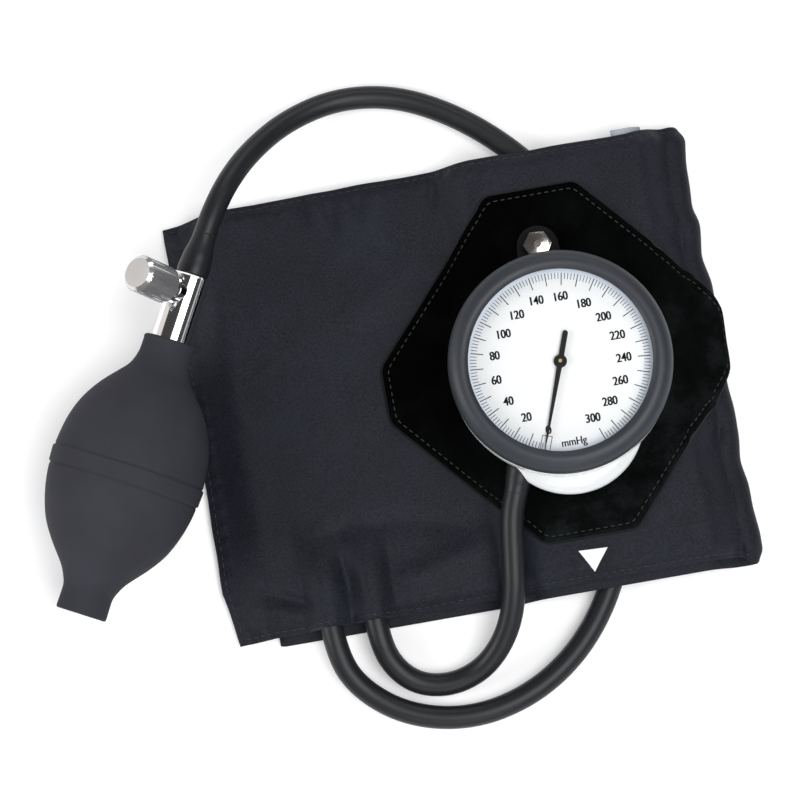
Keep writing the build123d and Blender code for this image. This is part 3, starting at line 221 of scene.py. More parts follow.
black_cloth = woven("black_cloth", (0.0075, 0.0088, 0.0142), 0.00042, 0.62, 0.03, gloss=0.2)
print_white = plain("print_white", (0.78, 0.8, 0.8), 0.7, vary=0.05, grain=2200.0, grain_depth=6e-5,
                    gloss=0.3)
strip_cloth = woven("strip_cloth", (0.01, 0.01, 0.011), 0.0009, 0.9, 0.15, 1e-4, 2e-4)
ribbon_cloth = plain("ribbon_cloth", (0.4, 0.44, 0.48), 0.75, vary=0.12, grain=2600.0,
                     grain_depth=8e-5, gloss=0.2)
thread = plain("thread", (0.013, 0.014, 0.018), 0.55, vary=0.3, grain=3000.0, grain_depth=6e-5)
patch_thread = plain("patch_thread", (0.012, 0.0125, 0.0145), 0.6, vary=0.5, grain=2500.0,
                     grain_depth=6e-5)
# the patch's cut edge: its own slightly lighter tone, partly a painted rim highlight
patch_edge_and_highlight = plain("patch_edge_and_highlight", (0.006, 0.008, 0.0078), 0.6, vary=0.5, grain=1200.0,
                   grain_depth=5e-5, gloss=0.3)
bulb_rubber = plain("bulb_rubber", (0.0295, 0.0302, 0.038), 0.8, vary=0.1, grain=1500.0,
                    grain_depth=3e-5, gloss=0.18)
hose_rubber = plain("hose_rubber", (0.0085, 0.0092, 0.0118), 0.44, vary=0.12, grain=800.0,
                    grain_depth=1.5e-5, gloss=0.33)
bezel_rubber = plain("bezel_rubber", (0.0195, 0.0232, 0.0305), 0.5, vary=0.06, grain=1800.0,
                     grain_depth=1.5e-5, gloss=0.45)
case_white = plain("case_white", (0.72, 0.74, 0.75), 0.25, vary=0.015, grain_depth=4e-6,
                   rough_vary=0.05, coat=0.4)
chrome = plain("chrome", (0.83, 0.83, 0.84), 0.09, 1.0, vary=0.03, grain=400.0,
               grain_depth=1.5e-6, rough_vary=0.05)
knurl = plain("knurl", (0.62, 0.62, 0.63), 0.2, 0.82, vary=0.08, grain_depth=5e-6)
nickel = plain("nickel", (0.62, 0.57, 0.52), 0.2, 1.0, vary=0.05, grain=700.0, grain_depth=5e-6,
               rough_vary=0.1)
brass = plain("brass", (0.72, 0.52, 0.27), 0.28, 1.0, vary=0.08, grain_depth=8e-6)
copper = plain("copper", (0.7, 0.46, 0.28), 0.3, 1.0, vary=0.1, grain=600.0, grain_depth=1e-5)
steel = plain("steel", (0.55, 0.55, 0.56), 0.3, 1.0, vary=0.06, grain_depth=8e-6)
bracket_black = plain("bracket_black", (0.003, 0.003, 0.0034), 0.6, grain=1800.0,
                      grain_depth=3e-5, gloss=0.12)
pointer_black = plain("pointer_black", (0.006, 0.006, 0.0065), 0.5, grain=2500.0,
                      grain_depth=5e-6, gloss=0.25)
print_black = plain("print_black", (0.012, 0.0145, 0.022), 0.6, grain_depth=2e-6, gloss=0.2)
seal_black = plain("seal_black", (0.02, 0.02, 0.02), 0.4)
inner_rubber = plain("inner_rubber", (0.05, 0.05, 0.05), 0.55)


def suede():
    """Black suede leather: a dense short nap with soft cloudy tone."""
    made, tree, shader, coords = fresh("suede")
    cloud = noise_node(tree, coords, 70.0, 5.0, 0.65)
    nap = noise_node(tree, coords, 2600.0, 3.0, 0.7)
    mixed = math_node(tree, "ADD", math_node(tree, "MULTIPLY", cloud, 0.7),
                      math_node(tree, "MULTIPLY", nap, 0.3))
    # painted sheen: the nap's base colour grows lighter towards +X and -Y across the patch
    split = tree.nodes.new("ShaderNodeSeparateXYZ")
    tree.links.new(coords, split.inputs[0])
    painted_sheen_slope = math_node(tree, "SUBTRACT", math_node(tree, "MULTIPLY", split.outputs["X"], 2.2),
                        math_node(tree, "MULTIPLY", split.outputs["Y"], 2.6))
    mixed = math_node(tree, "ADD", mixed, painted_sheen_slope)
    tones = [(0.42, (0.0003, 0.0003, 0.0004)), (0.66, (0.002, 0.0024, 0.0024)),
             (0.92, (0.0125, 0.0152, 0.0165))]
    tree.links.new(ramp(tree, mixed, tones), shader.inputs["Base Color"])
    set_inputs(shader, {"Roughness": 0.78, "Specular IOR Level": 0.02, "Sheen Weight": 0.003,
                        "Sheen Roughness": 0.35, "Sheen Tint": (0.75, 0.85, 1.0, 1.0)})
    matted = noise_node(tree, coords, 420.0, 4.0, 0.6)
    bump(tree, shader, [(nap, 0.7, 1.2e-4), (matted, 0.4, 2.5e-4)])
    return made


suede_black = suede()


def dial_face(centre):
    """White enamel with a painted bluish shade towards its rim."""
    made, tree, shader, coords = fresh("dial_face")
    shift = tree.nodes.new("ShaderNodeVectorMath")
    shift.operation = "SUBTRACT"
    shift.inputs[1].default_value = centre
    tree.links.new(coords, shift.inputs[0])
    length = tree.nodes.new("ShaderNodeVectorMath")
    length.operation = "LENGTH"
    tree.links.new(shift.outputs[0], length.inputs[0])
    reach = math_node(tree, "DIVIDE", length.outputs["Value"], DIAL_RADIUS * MM)
    # painted shade: the white turns darker and grey-blue as the reach nears the rim
    tones = [(0.0, (0.93, 0.94, 0.94)), (0.8, (0.9, 0.92, 0.93)), (0.99, (0.7, 0.79, 0.92))]
    tree.links.new(ramp(tree, reach, tones), shader.inputs["Base Color"])
    shader.inputs["Roughness"].default_value = 0.5
    bump(tree, shader, [(noise_node(tree, coords, 1500.0), 0.1, 2e-6)])
    return made


def clear_plastic():
    """The thin clear lens: nearly all light passes."""
    made, tree, shader, coords = fresh("clear_plastic")
    set_inputs(shader, {"Base Color": (0.02, 0.02, 0.025, 1), "Roughness": 0.03, "Alpha": 0.05,
                        "Specular IOR Level": 0.5})
    bump(tree, shader, [(noise_node(tree, coords, 200.0), 0.05, 1e-6)])
    return made


lens_clear = clear_plastic()


def wear(obj, made):
    """Put a material on every slot of an object."""
    if obj.data.materials:
        for slot in obj.material_slots:
            slot.material = made
    else:
        obj.data.materials.append(made)


# ---------------------------------------------------------------- mesh helpers


def mesh_object(name, points, faces, made, smooth=True):
    """An object from points and faces, riding on the fixed body."""
    mesh = bpy.data.meshes.new(name)
    mesh.from_pydata([tuple(p) for p in points], [], faces)
    mesh.validate()
    mesh.polygons.foreach_set("use_smooth", [smooth] * len(mesh.polygons))
    obj = linked(name, mesh)
    wear(obj, made)
    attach(obj, "set")
    return obj


def grid_faces(rows, columns, wrap_columns=False, start=0, flip=False):
    """Faces of a grid of points stored row by row."""
    faces = []
    for i in range(rows - 1):
        for j in range(columns if wrap_columns else columns - 1):
            a = start + i * columns + j
            b = start + i * columns + (j + 1) % columns
            c = start + (i + 1) * columns + (j + 1) % columns
            d = start + (i + 1) * columns + j
            faces.append((a, d, c, b) if flip else (a, b, c, d))
    return faces


def slab(name, outer, inner, made, flip=False):
    """A closed sheet between two grids of points in mm. Flip gives the faces the other order."""
    rows, columns = outer.shape[:2]
    n = rows * columns
    points = np.concatenate([outer.reshape(-1, 3), inner.reshape(-1, 3)]) * MM
    faces = (grid_faces(rows, columns, flip=not flip)
             + grid_faces(rows, columns, start=n, flip=flip))
    rim = ([(i, 0) for i in range(rows)] + [(rows - 1, j) for j in range(1, columns)]
           + [(i, columns - 1) for i in range(rows - 2, -1, -1)]
           + [(0, j) for j in range(columns - 2, 0, -1)])
    for (a, b), (c, d) in zip(rim, rim[1:] + rim[:1]):
        p, q = a * columns + b, c * columns + d
        faces.append((p, q, q + n, p + n)[::-1 if flip else 1])
    return mesh_object(name, points, faces, made)


def lathe(name, origin, axis, side, profile, made, count=128, shape=None):
    """A turned piece from (radius, distance along the axis) points, with closed ends."""
    origin, axis, side = Vector(origin), Vector(axis).normalized(), Vector(side).normalized()
    other = axis.cross(side)
    points = []
    for radius, reach in profile:
        for k in range(count):
            angle = 2 * math.pi * k / count
            r = radius if shape is None else shape(radius, reach, angle)
            outward = side * math.cos(angle) + other * math.sin(angle)
            points.append(origin + axis * reach + outward * r)
    faces = grid_faces(len(profile), count, wrap_columns=True)
    for ring, flip in ((0, True), (len(profile) - 1, False)):
        if profile[ring][0] > 1e-6:
            loop = [ring * count + k for k in range(count)]
            faces.append(tuple(loop[::-1] if flip else loop))
    obj = mesh_object(name, points, faces, made)
    mesh = obj.data
    mesh.polygons.foreach_set("use_smooth", [len(p.vertices) == 4 for p in mesh.polygons])
    return obj


def smooth_profile(points, step):
    """Catmull-Rom points through (radius, distance) points."""
    out = []
    pts = [points[0]] + list(points) + [points[-1]]
    for k in range(1, len(pts) - 2):
        p0, p1, p2, p3 = (np.array(p, float) for p in pts[k - 1:k + 3])
        n = max(2, int(np.linalg.norm(p2 - p1) / step))
        for i in range(n):
            t = i / n
            square = (2 * p0 - 5 * p1 + 4 * p2 - p3) * t**2
            cube = (3 * p1 - p0 - 3 * p2 + p3) * t**3
            out.append(tuple(0.5 * ((2 * p1) + (p2 - p0) * t + square + cube)))
    out.append(tuple(points[-1]))
    return out


# ---------------------------------------------------------------- hoses

hose_radius = 3.9 * MM
rest = 4.0


def unit(heading, tilt):
    """Direction from a heading (degrees from +Y towards +X) and an upward tilt."""
    flat = math.cos(math.radians(tilt))
    return Vector((math.sin(math.radians(heading)) * flat, math.cos(math.radians(heading)) * flat,
                   math.sin(math.radians(tilt))))


bulb_axis = unit(27.6, 2.0)
bulb_side = Vector((-bulb_axis.y, bulb_axis.x, 0)).normalized()
bulb_centre = Vector((-114.1, -11.5, 26.0)) * MM
neck_point = bulb_centre + bulb_axis * 47.6 * MM
valve_end = neck_point + bulb_axis * 22.9 * MM
nipple_axis = Vector((-0.347, -0.9, -0.14)).normalized()
nipple_side = Vector((-nipple_axis.y, nipple_axis.x, 0)).normalized()
nipple_start = Vector((16.27, -30.75, 25.35)) * MM
neck_x = (-55.8, -40.8)
neck_end = -64.0
neck_height = 9.6


def hose(name, start, axis, flare_length, rest_of_route):
    """A rubber hose as one smooth curve from its flare to the bladder's neck."""
    lead = [start + axis * flare_length * 0.5, start + axis * flare_length,
            start + axis * (flare_length + 8.0 * MM)]
    route = [start] + lead + [Vector(p) * MM for p in rest_of_route]
    curve = bpy.data.curves.new(name, "CURVE")
    curve.dimensions = "3D"
    curve.bevel_depth = hose_radius
    curve.bevel_resolution = 10
    curve.use_fill_caps = True
    spline = curve.splines.new("NURBS")
    spline.points.add(len(route) - 1)
    for point, place in zip(spline.points, route):
        point.co = (*place, 1.0)
    spline.order_u = 3
    spline.use_endpoint_u = True
    spline.resolution_u = 12
    obj = linked(name, curve)
    wear(obj, hose_rubber)
    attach(obj, "set")
    return obj


bulb_hose = hose("bulb_hose_tube", valve_end, bulb_axis, 14.0 * MM, (
    (-64.6, 80.9, 26.4),
    (-55.6, 91.5, 19.4),
    (-42.2, 101.6, 11.2),
    (-24.0, 107.6, 5.2),
    (-4.0, 105.2, rest),
    (14.8, 95.2, rest),
    (31.5, 80.6, rest),
    (46.0, 61.8, rest),
    (55.0, 37.0, rest),
    (57.6, 8.0, rest),
    (54.6, -20.6, rest),
    (49.0, -47.6, rest),
    (40.2, -73.2, rest),
    (26.0, -92.6, rest),
    (7.5, -105.0, rest),
    (-14.2, -109.8, rest),
    (-35.6, -105.0, rest),
    (-51.0, -92.4, 5.4),
    (neck_x[0], -78.6, neck_height),
    (neck_x[0], neck_end, neck_height),
))
gauge_hose = hose("gauge_hose_tube", nipple_start, nipple_axis, 9.0 * MM, (
    (8.4, -59.9, 19.9),
    (6.9, -71.0, 17.7),
    (3.7, -80.9, 13.8),
    (-2.0, -89.1, 9.0),
    (-9.8, -94.9, 5.3),
    (-20.2, -97.4, rest),
    (-30.8, -95.0, rest),
    (-38.2, -87.2, 5.9),
    (neck_x[1], -76.0, neck_height),
    (neck_x[1], neck_end, neck_height),
))
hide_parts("bulb_hose")
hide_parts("gauge_hose")


def flare(name, start, axis, side, wide, length, inner):
    """The stretched end of a hose over its barbed nipple, with the barbs showing through."""
    profile = [(inner, 0.0), (wide - 0.5 * MM, 0.0), (wide, 0.5 * MM)]
    for k in range(24):
        t = k / 23
        swell = 0.5 + 0.5 * math.cos(math.pi * max(0.0, (t - 0.18) / 0.82))
        ripple = 0.1 * MM * math.sin(t * 5 * math.pi) * (1 - t)
        profile.append((hose_radius + 0.02 * MM + (wide - hose_radius) * swell + ripple,
                        0.8 * MM + (length - 0.8 * MM) * t))
    profile.append((hose_radius - 0.3 * MM, length + 0.2 * MM))
    piece = lathe(name, start, axis, side, profile, hose_rubber)
    return piece


bulb_flare = flare("bulb_hose_flare", valve_end, bulb_axis, bulb_side, 5.35 * MM, 15.0 * MM,
                   3.3 * MM)
gauge_flare = flare("gauge_hose_flare", nipple_start, nipple_axis, nipple_side, 4.5 * MM, 9.5 * MM,
                    2.6 * MM)

# ---------------------------------------------------------------- folded cuff

# In mm. A place on the cuff's outer face is given by its path length from the top panel's left
# edge round the fold, and by its share of the depth from front to back.
UNDER, GAP, TOP = 3.0, 2.0, 5.0
STACK = UNDER + GAP + TOP
TURN_RADIUS = (STACK - TOP / 2 - UNDER / 2) / 2
FOLD_ARC = math.pi * TURN_RADIUS
HUMP = 8.5
FOLD_CENTRE = 85.6
LEFT = -90.5
UNDER_LEFT = -74.0
FRONT, BACK = -72.3, 75.4
DEPTH = 147.7
RUN = FOLD_CENTRE - LEFT
TOTAL = RUN + FOLD_ARC + (FOLD_CENTRE - UNDER_LEFT)
HEM = 1.25
NECK_THICKNESS = 10.6
PUCKER = 5.6
GAUGE = (34.6, -1.8)
FOOT_Y = -19.1
BRACKET_Y, BRACKET_HALF = 14.0, 30.0
PATCH = (35.3, 2.0)
PATCH_HALF = 60.0


def smoothstep(t):
    """A soft step from 0 to 1 as t goes from 0 to 1."""
    t = np.clip(t, 0.0, 1.0)
    return t * t * (3 - 2 * t)


def hump(x):
    """Lift of the cuff where the hidden hose lies under it."""
    x = np.asarray(x, float)
    return HUMP * smoothstep((x - 3.0) / 14.5) * smoothstep((84.5 - x) / 12.5)


def field(points, scale, seed, octaves=3):
    """Smooth noise in -1..1 at points (mm) with a wavelength in mm."""
    shift = Vector((seed * 17.3, seed * 5.7, seed * 11.1))
    out = np.empty(len(points))
    for k, p in enumerate(points):
        v = Vector((p[0] / scale, p[1] / scale, p[2] / scale if len(p) > 2 else 0.0)) + shift
        out[k] = noise.fractal(v, 0.9, 2.0, octaves)
    return out


def path_point(s):
    """Centre line of the folded sleeve in X and Z, with its thickness, from the left edge of the
    top panel (s = 0) round the fold to the left edge of the under panel."""
    on_top, before_low = s < RUN, s < RUN + FOLD_ARC
    angle = np.clip((s - RUN) / TURN_RADIUS, 0, math.pi)
    x_turn = FOLD_CENTRE + TURN_RADIUS * np.sin(angle)
    x_low = FOLD_CENTRE - (s - RUN - FOLD_ARC)
    x = np.where(on_top, LEFT + s, np.where(before_low, x_turn, x_low))
    z_top = STACK - TOP / 2 + hump(x)
    drop = smoothstep((LEFT + 17.0 - x) / 12.5)
    z_top = z_top * (1 - drop) + (TOP / 2) * drop
    z_low = UNDER / 2 + hump(x)
    centre = (STACK - TOP / 2 + UNDER / 2) / 2
    z_turn = centre + TURN_RADIUS * np.cos(angle)
    z = np.where(on_top, z_top, np.where(before_low, z_turn, z_low))
    share = np.clip((s - RUN) / FOLD_ARC, 0, 1)
    thick = np.where(on_top, TOP, np.where(before_low, TOP + (UNDER - TOP) * share, UNDER))
    return x, z, thick


def tunnel(x, y):
    """How strongly the cuff wraps a bladder neck at a place, 0 to 1."""
    total = np.zeros_like(x)
    for centre in neck_x:
        across = np.clip(1 - ((x - centre) / 8.2) ** 2, 0, 1) ** 1.3
        along = 1 - smoothstep((y + 58.0) / 24.0)
        total = np.maximum(total, across * along)
    return total


def calm(x, y):
    """0 where the gauge and its bracket need a flat bed, little under the patch, 1 elsewhere."""
    near = np.hypot(x - GAUGE[0], y - FOOT_Y) - 20.0
    beside = np.clip(np.abs(y - BRACKET_Y) - BRACKET_HALF, 0, None)
    strip = np.hypot(x - GAUGE[0], beside) - 12.0
    bed = smoothstep(np.minimum(near, strip) / 12.0)
    u, w = np.abs(x - PATCH[0]), np.abs(y - PATCH[1])
    past_corner = (u * 50.5 + w * 44.5 - PATCH_HALF * 44.5 - 15.5 * 50.5) / 67.3
    beyond = np.maximum(np.maximum(u - PATCH_HALF, w - PATCH_HALF), past_corner)
    return bed * (0.2 + 0.8 * smoothstep((beyond + 1.0) / 9.0))


FOLD_STRENGTH = 2.1
FOLDS = [
    # x0, y0, x1, y1, half width, height in mm, to be multiplied by the strength
    (-46.5, -53.0, -45.8, -68.0, 2.4, -1.3),
    (-56.0, -42.0, -43.0, -39.5, 3.2, -0.42),
    (-43.0, -39.5, -26.0, -41.0, 3.4, -0.48),
    (-26.0, -41.0, -1.6, -45.7, 4.2, -0.5),
    (-30.0, -60.8, -17.4, -58.3, 4.6, 0.9),
    (-17.4, -58.3, -1.0, -54.3, 5.0, 0.8),
    (-73.5, -57.0, -61.5, -63.4, 1.9, -0.9),
    (-78.5, -61.5, -66.0, -66.5, 2.6, 0.6),
    (-42.3, 74.5, -41.6, 67.0, 2.0, -0.7),
    (-32.2, 75.5, -32.6, 61.5, 2.0, -0.8),
    (-22.6, 74.5, -22.9, 64.5, 2.1, -0.7),
    (3.6, 75.5, 2.6, 65.0, 2.2, -0.7),
    (66.5, 42.0, 84.0, 35.5, 3.6, -0.6),
    (74.0, -34.0, 88.5, -26.0, 3.4, -0.6),
    (79.0, -58.0, 92.0, -45.0, 3.0, 0.5),
    (-30.0, 30.0, -8.0, 46.0, 6.0, 0.35),
    (-62.0, 8.0, -22.0, -8.0, 9.0, 0.4),
]


def ridge(x, y, x0, y0, x1, y1, half, height):
    """A soft fold along a segment, fading at its ends."""
    dx, dy = x1 - x0, y1 - y0
    t = np.clip(((x - x0) * dx + (y - y0) * dy) / (dx * dx + dy * dy), 0.0, 1.0)
    away = np.hypot(x - x0 - t * dx, y - y0 - t * dy)
    fade = 0.35 + 0.65 * np.sin(np.pi * np.clip(t, 0.03, 0.97))
    return height * np.exp(-(away / half) ** 2) * fade


def wrinkle(x, y):
    """Height of the soft folds on the top panel in mm."""
    flat = np.stack([x, y, np.zeros_like(x)], 1)
    total = field(flat, 46.0, 1, 2) * 0.42
    slanted = np.stack([x + 0.55 * y, (y - 0.55 * x) / 3.2, np.zeros_like(x)], 1)
    creases = np.clip(1 - np.abs(field(slanted, 21.0, 2, 2)) * 2.2, 0, 1) ** 2.2 * 0.16
    fine = np.stack([x / 1.6, y, np.zeros_like(x)], 1)
    edge = np.minimum(np.minimum(x - LEFT, BACK - y), np.minimum(y - FRONT, 96 - x))
    total = total + creases * smoothstep(edge / 14.0) + field(fine, 6.5, 3, 2) * 0.08
    for fold in FOLDS:
        total = total + FOLD_STRENGTH * ridge(x, y, *fold)
    return total


def cover_mesh():
    """The folded sleeve's outer and inner grids of points in mm, with their path lengths and
    shares of the depth."""
    s_list = np.concatenate([
        [0.0, 0.5, 1.0, 1.6, 2.3, 3.1],
        np.arange(4.0, RUN - 1, 1.0),
        np.linspace(RUN - 0.5, RUN + FOLD_ARC + 0.5, 14),
        np.arange(RUN + FOLD_ARC + 1.5, TOTAL - 4.0, 2.0),
        TOTAL - np.array([3.1, 2.0, 1.2, 0.5, 0.0]),
    ])
    v_list = np.concatenate([
        [0.0, 0.4, 0.9, 1.5, 2.1, 2.8, 3.6],
        np.arange(4.6, 143.0, 1.0),
        DEPTH - np.array([3.6, 2.8, 2.1, 1.5, 0.9, 0.4, 0.0]),
    ]) / DEPTH
    S, V = np.meshgrid(s_list, v_list, indexing="ij")
    x, z, thick = path_point(S)
    ds = 0.05
    xa, za, _ = path_point(S - ds)
    xb, zb, _ = path_point(S + ds)
    tx, tz = xb - xa, zb - za
    size = np.hypot(tx, tz)
    nx, nz = -tz / size, tx / size
    # the outline from above
    upper = smoothstep((RUN + 1.5 - S) / 4.0)
    front = FRONT - 2.6 * (1 - upper) * smoothstep((TOTAL + 6 - S) / 8)
    back = (BACK + 0.8 * np.sin(np.pi * np.clip(S / RUN, 0, 1)) * upper
            - 2.4 * smoothstep((-70 - x) / 25) * upper)
    back = back + 1.5 * smoothstep((x - 70) / 11)
    y = front + (back - front) * V
    corner = np.clip((-54.0 - y) / 18.0, 0.0, 1.0) * smoothstep((-70.0 - x) / 18.0)
    x = x + 3.2 * upper * corner
    # thickness: thin at the seams, round over the bladder's necks
    edge_s = np.minimum(S, TOTAL - S)
    edge_v = np.minimum(V, 1 - V) * DEPTH
    edge = np.minimum(edge_s, edge_v)
    seam = 1 - smoothstep(edge / 5.2)
    tun = tunnel(x, y) * upper
    thick = thick * (1 - seam) + HEM * seam
    thick = thick * (1 - tun) + NECK_THICKNESS * tun
    drop_hem = (TOP - HEM) / 2 * seam * upper * (1 - tun)
    z = z - drop_hem * smoothstep((x + 74) / 20) * 0.4 + 2.1 * tun
    # folds and puckers
    flat_x, flat_y = x.ravel(), y.ravel()
    lift = (wrinkle(flat_x, flat_y) * calm(flat_x, flat_y)).reshape(S.shape)
    lift = lift * upper * (1 - 0.75 * seam)
    phase = np.where(edge_v < edge_s, S, y)
    wob = noise_row(phase)
    puckers = (0.32 * np.sin(phase * 2 * math.pi / PUCKER + 2.2 * wob)
               * np.exp(-((edge - 3.4) / 2.4) ** 2))
    lift = lift + puckers * (1 - tun)
    bow = 0.9 * wob * (1 - smoothstep(edge_v / 9.0)) * np.sign(V - 0.5)
    y = y + bow * 0.45 * upper
    near_fold = smoothstep((S - (RUN - 26)) / 26) * smoothstep((RUN + FOLD_ARC + 26 - S) / 26)
    x = x + fold_wave(y) * near_fold
    x = x - 0.8 * wob * (1 - smoothstep(edge_s / 7.0)) * upper * 0.5
    rounding = np.sqrt(np.clip(1 - (1 - np.clip(edge / 0.9, 0, 1)) ** 2, 0, 1))
    half = thick / 2 * (0.12 + 0.88 * rounding)
    outer = np.stack([x + nx * (half + lift), y, z + nz * (half + lift)], -1)
    inner = np.stack([x - nx * (half - 0.5 * lift), y, z - nz * (half - 0.5 * lift)], -1)
    outer[..., 2] = np.maximum(outer[..., 2], 0.02)
    inner[..., 2] = np.maximum(inner[..., 2], 0.02)
    return outer, inner, S, V


def noise_row(phase):
    """A slow wobble along an edge."""
    flat = phase.ravel()
    table_at = np.arange(-120.0, 420.0, 1.0)
    table = np.array([noise.noise(Vector((p / 13.0, 3.3, 7.1))) for p in table_at])
    return np.interp(flat, table_at, table).reshape(phase.shape)


def fold_wave(y):
    """How far the folded right edge stands out or in along its length, in mm."""
    at = [-75, -66, -56, -48, -40, -32, -22, -14, 14, 22, 31, 38, 43, 48, 55, 64, 72, 76]
    off = [0.2, 1.1, 0.2, 0.3, -1.2, 0.0, 0.2, -0.6, 0.4, 0.6, -1.3, -0.2, 0.4, -1.4, -0.8, -0.6,
           0.6, -0.4]
    table_at = np.arange(-90.0, 91.0, 0.5)
    bell = np.exp(-(np.arange(-16, 17) * 0.5 / 2.4) ** 2)
    table = np.convolve(np.interp(table_at, at, off), bell / bell.sum(), mode="same")
    return np.interp(y, table_at, table)


skin, skin_inner, skin_s, skin_v = cover_mesh()
skin_out = np.cross(np.gradient(skin, axis=0), np.gradient(skin, axis=1))
skin_out /= np.linalg.norm(skin_out, axis=-1, keepdims=True)
for _ in range(4):
    skin_out[1:-1] = (skin_out[:-2] + 2 * skin_out[1:-1] + skin_out[2:]) / 4
cover = slab("cuff_cloth", skin, skin_inner, black_cloth)
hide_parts("cuff_cover")


def on_skin(s, v):
    """Point and outward normal of the cuff's outer face at path length s (mm) and share v."""
    i = np.clip(np.searchsorted(skin_s[:, 0], s) - 1, 0, skin_s.shape[0] - 2)
    j = np.clip(np.searchsorted(skin_v[0], v) - 1, 0, skin_v.shape[1] - 2)
    a = (s - skin_s[i, 0]) / (skin_s[i + 1, 0] - skin_s[i, 0])
    b = (v - skin_v[0, j]) / (skin_v[0, j + 1] - skin_v[0, j])
    a, b = a[..., None], b[..., None]

    def between(grid):
        return (grid[i, j] * (1 - a) * (1 - b) + grid[i + 1, j] * a * (1 - b)
                + grid[i, j + 1] * (1 - a) * b + grid[i + 1, j + 1] * a * b)
    out = between(skin_out)
    return between(skin), out / np.linalg.norm(out, axis=-1, keepdims=True)


SINK = 0.35


def dashes(name, line, out, dash, gap, width, made):
    """Raised stitches along a line of points (mm), lying on a surface with the given normals."""
    line, out = np.asarray(line, float), np.asarray(out, float)
    reach = np.concatenate([[0], np.cumsum(np.linalg.norm(np.diff(line, axis=0), axis=1))])
    points, faces = [], []
    for k in range(int(reach[-1] / (dash + gap))):
        begin = k * (dash + gap)
        mid = begin + dash / 2

        def at(where):
            return (np.array([np.interp(where, reach, line[:, c]) for c in range(3)]),
                    np.array([np.interp(where, reach, out[:, c]) for c in range(3)]))
        start = len(points)
        for t in (0.0, 0.16, 0.5, 0.84, 1.0):
            place, normal = at(begin + dash * t)
            ahead = at(mid + 0.2)[0] - at(mid - 0.2)[0]
            ahead /= np.linalg.norm(ahead)
            side = np.cross(ahead, normal)
            at_end = t in (0.0, 1.0)
            fat = width / 2 * (0.45 if at_end else 1.0)
            dip = SINK * width if at_end else 0.0
            for c in range(6):
                angle = c * math.pi / 3
                rise = fat * 0.8 * math.sin(angle) + fat * 0.35 - dip
                points.append((place + side * fat * math.cos(angle) + normal * rise) * MM)
        faces += grid_faces(5, 6, wrap_columns=True, start=start)
        faces.append(tuple(start + c for c in range(5, -1, -1)))
        faces.append(tuple(start + 24 + c for c in range(6)))
    return mesh_object(name, points, faces, made)


HEM_INSET = 1.9


def hem_line(kind):
    """Points and normals along one hem of the top panel."""
    if kind == "left":
        v = np.linspace(0.03, 0.97, 260)
        s = np.full_like(v, HEM_INSET)
    else:
        s = np.linspace(2.5, RUN + 3.0, 340)
        v = np.full_like(s, HEM_INSET / DEPTH if kind == "front" else 1 - HEM_INSET / DEPTH)
    return on_skin(s, v)


for kind in ("left", "front", "back"):
    place, out = hem_line(kind)
    stitches = dashes("hem_stitches_" + kind, place, out, 1.9, 1.0, 0.36, thread)

# ---------------------------------------------------------------- patch

PATCH_HEIGHT = 2.4
EDGE_RINGS = 3
OCTAGON = np.array([(60, -9.5), (60, 9.5), (15.5, 60), (-15.5, 60), (-60, 9.5), (-60, -9.5),
                    (-15.5, -60), (15.5, -60)], float)


def inset_octagon(d):
    """The octagon's corners with each side moved in by d."""
    n = len(OCTAGON)
    out = []
    for k in range(n):
        a, b, c = OCTAGON[k - 1], OCTAGON[k], OCTAGON[(k + 1) % n]
        u, w = (b - a) / np.linalg.norm(b - a), (c - b) / np.linalg.norm(c - b)
        nu, nw = np.array([-u[1], u[0]]), np.array([-w[1], w[0]])
        out.append(b + (nu + nw) * d / (1 + nu @ nw))
    return np.array(out)


def octagon_ring(d, per_side=40):
    """Points along the inset octagon, softly rounded at its corners."""
    corners = inset_octagon(d)
    ring = []
    n = len(corners)
    for k in range(n):
        a, b, c = corners[k - 1], corners[k], corners[(k + 1) % n]
        r = min(2.2, np.linalg.norm(b - a) / 3)
        p = b + (a - b) / np.linalg.norm(a - b) * r
        q = b + (c - b) / np.linalg.norm(c - b) * r
        for t in np.linspace(0, 1, 7):
            ring.append((1 - t) ** 2 * p + 2 * t * (1 - t) * b + t * t * q)
        e = c + (b - c) / np.linalg.norm(b - c) * r
        for t in np.linspace(0, 1, per_side + 2)[1:-1]:
            ring.append(q + (e - q) * t)
    return np.array(ring)


def patch_at(flat, height):
    """Points of the patch at flat places from its centre, raised above the cuff's skin."""
    x, y = flat[..., 0] + PATCH[0], flat[..., 1] + PATCH[1]
    over = x - FOLD_CENTRE
    s = np.where(over > 0, RUN + np.clip(over, 0, None) / 6.9 * TURN_RADIUS, x - LEFT)
    v = (y - FRONT) / (BACK - FRONT)
    inside = smoothstep((FOLD_CENTRE - 1.0 - x) / 7.0)
    for _ in range(5):
        place, out = on_skin(s, v)
        raised = place + out * height[..., None]
        s = s + (x - raised[..., 0]) * inside
        v = v + (y - raised[..., 1]) / DEPTH
    place, out = on_skin(s, v)
    return place + out * height[..., None], out


